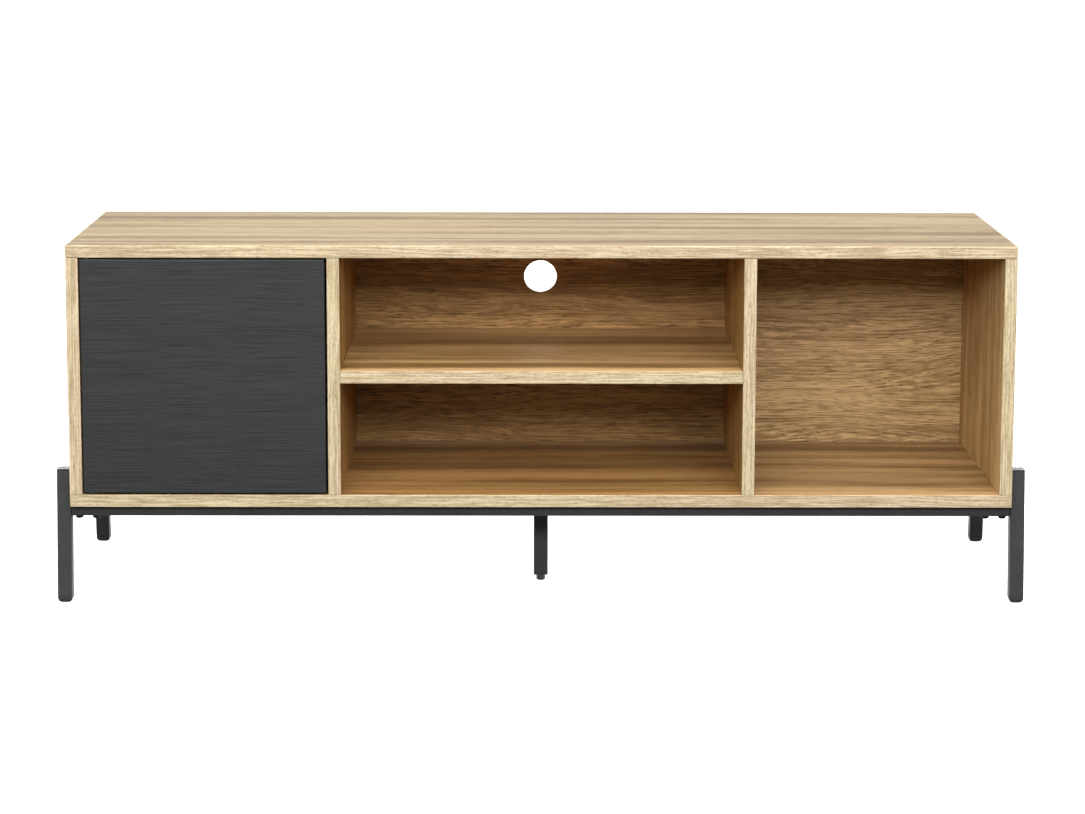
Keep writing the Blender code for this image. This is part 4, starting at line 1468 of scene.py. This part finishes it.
class STAND_OT_stage(Operator):
    """Lay the pale floor, hang the soft lights and set up the camera"""

    bl_idname = "stand.stage"
    bl_label = "Floor, lights and camera"

    floor_reach = 60.0
    light_distance = 3.6
    light_aim = 0.34

    def execute(self, context):
        stage = context.scene.stand_stage
        self.lay_floor()
        self.light_world(context, stage)
        for name, azimuth, elevation, softbox, power in (
            ("front_light", 0.0, 21.0, (4.6, 0.75), stage.front_power),
            ("high_light", 0.0, 43.0, (4.6, 0.75), stage.high_power),
            ("top_light", 0.0, 80.0, (4.6, 0.75), stage.top_power),
            ("right_light", 108.0, -1.5, (2.0, 0.36), stage.side_power),
            ("left_light", -108.0, -1.5, (2.0, 0.36), stage.side_power),
            ("rear_light", 180.0, -1.5, (3.6, 0.36), stage.rear_power),
        ):
            self.hang_light(name, azimuth, elevation, softbox, power)
        self.set_camera(context, stage)
        context.scene.view_settings.view_transform = "Standard"
        return {"FINISHED"}

    def lay_floor(self):
        """An evenly lit white floor, which throws no light back on the stand."""
        finish = Finish("stand_floor")
        finish.surface(Base_Color=(0.90, 0.90, 0.90), Roughness=0.9)
        finish.surface(Emission_Color=(1.0, 1.0, 1.0), Emission_Strength=1.0)
        mesh = bpy.data.meshes.new("floor")
        reach = self.floor_reach
        signs = (-1, -1), (1, -1), (1, 1), (-1, 1)
        corners = [(side * reach, end * reach, 0.0) for side, end in signs]
        mesh.from_pydata(corners, [], [(0, 1, 2, 3)])
        mesh.materials.append(finish.material)
        floor = bpy.data.objects.new("floor", mesh)
        bpy.context.scene.collection.objects.link(floor)
        floor.visible_diffuse = False
        floor.visible_glossy = False

    def light_world(self, context, stage):
        """A dim even studio, which is bright where the stand's gloss mirrors it."""
        world = bpy.data.worlds.new("studio")
        world.use_nodes = True
        nodes = Nodes(world.node_tree)
        background = world.node_tree.nodes["Background"]
        mirrored = nodes.node("ShaderNodeLightPath", output="Is Glossy Ray")
        way = nodes.node("ShaderNodeTexCoord", output="Generated")
        behind = nodes.vector("DOT_PRODUCT", way, (0.0, 1.0, 0.0)).between(0.3, 0.8)
        sheen = behind * (stage.backdrop - stage.sheen) + (stage.sheen - stage.ambient)
        nodes.feed(background, "Color", (1.0, 1.0, 1.0))
        seen = nodes.node("ShaderNodeLightPath", output="Is Camera Ray")
        strength = mirrored * sheen + seen * (1.0 - stage.ambient) + stage.ambient
        nodes.feed(background, "Strength", strength)
        context.scene.world = world

    def hang_light(self, name, azimuth, elevation, softbox, power):
        """Hang a softbox round from the stand's front and up from its middle, turned towards it."""
        light = bpy.data.lights.new(name, "AREA")
        light.shape = "RECTANGLE"
        light.size, light.size_y = softbox
        light.energy = power
        obj = bpy.data.objects.new(name, light)
        bpy.context.scene.collection.objects.link(obj)
        rise, way = math.radians(elevation), math.radians(azimuth)
        level = math.cos(rise)
        towards = Vector((level * math.sin(way), -level * math.cos(way), math.sin(rise)))
        reach = self.light_distance * towards
        obj.location = Vector((0.0, 0.0, self.light_aim)) + reach
        obj.rotation_euler = (-reach).to_track_quat("-Z", "Y").to_euler()
        obj.visible_camera = False

    def set_camera(self, context, stage):
        camera = bpy.data.cameras.new("camera")
        camera.lens = stage.lens
        camera.shift_y = stage.shift
        camera.clip_end = 2 * self.floor_reach
        obj = bpy.data.objects.new("camera", camera)
        context.scene.collection.objects.link(obj)
        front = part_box("top_panel")[0].y
        turn = Matrix.Rotation(-stage.yaw, 4, "Z")
        turn = turn @ Matrix.Rotation(math.radians(90.0) - stage.pitch, 4, "X")
        turn = turn @ Matrix.Rotation(stage.roll, 4, "Z")
        spot = Vector((-stage.camera_x, front - stage.camera_distance, stage.camera_height))
        obj.matrix_world = Matrix.Translation(spot) @ turn
        context.scene.camera = obj


class STAND_PT_stand(Panel):
    """Lists the stand's operators in the order that they run in"""

    bl_idname = "STAND_PT_stand"
    bl_label = "TV Stand"
    bl_space_type = "VIEW_3D"
    bl_region_type = "UI"
    bl_category = "TV Stand"

    def draw(self, context):
        for operator in OPERATORS:
            self.layout.operator(operator.bl_idname)


OPERATORS = (
    STAND_OT_boards,
    STAND_OT_door,
    STAND_OT_bushes,
    STAND_OT_latch,
    STAND_OT_legs,
    STAND_OT_rails,
    STAND_OT_centre_leg,
    STAND_OT_fixings,
    STAND_OT_stage,
)
SETTINGS = (StandSizes, StandFinishes, StandStage)


def register():
    for kind in (*SETTINGS, *OPERATORS, STAND_PT_stand):
        bpy.utils.register_class(kind)
    bpy.types.Scene.stand_sizes = PointerProperty(type=StandSizes)
    bpy.types.Scene.stand_finishes = PointerProperty(type=StandFinishes)
    bpy.types.Scene.stand_stage = PointerProperty(type=StandStage)


def unregister():
    del bpy.types.Scene.stand_stage
    del bpy.types.Scene.stand_finishes
    del bpy.types.Scene.stand_sizes
    for kind in reversed((*SETTINGS, *OPERATORS, STAND_PT_stand)):
        bpy.utils.unregister_class(kind)


def main():
    for obj in [obj for obj in bpy.data.objects if obj.name in ("Cube", "Light", "Camera")]:
        bpy.data.objects.remove(obj)
    register()
    for operator in OPERATORS:
        group, name = operator.bl_idname.split(".")
        getattr(getattr(bpy.ops, group), name)()


if __name__ == "__main__":
    main()
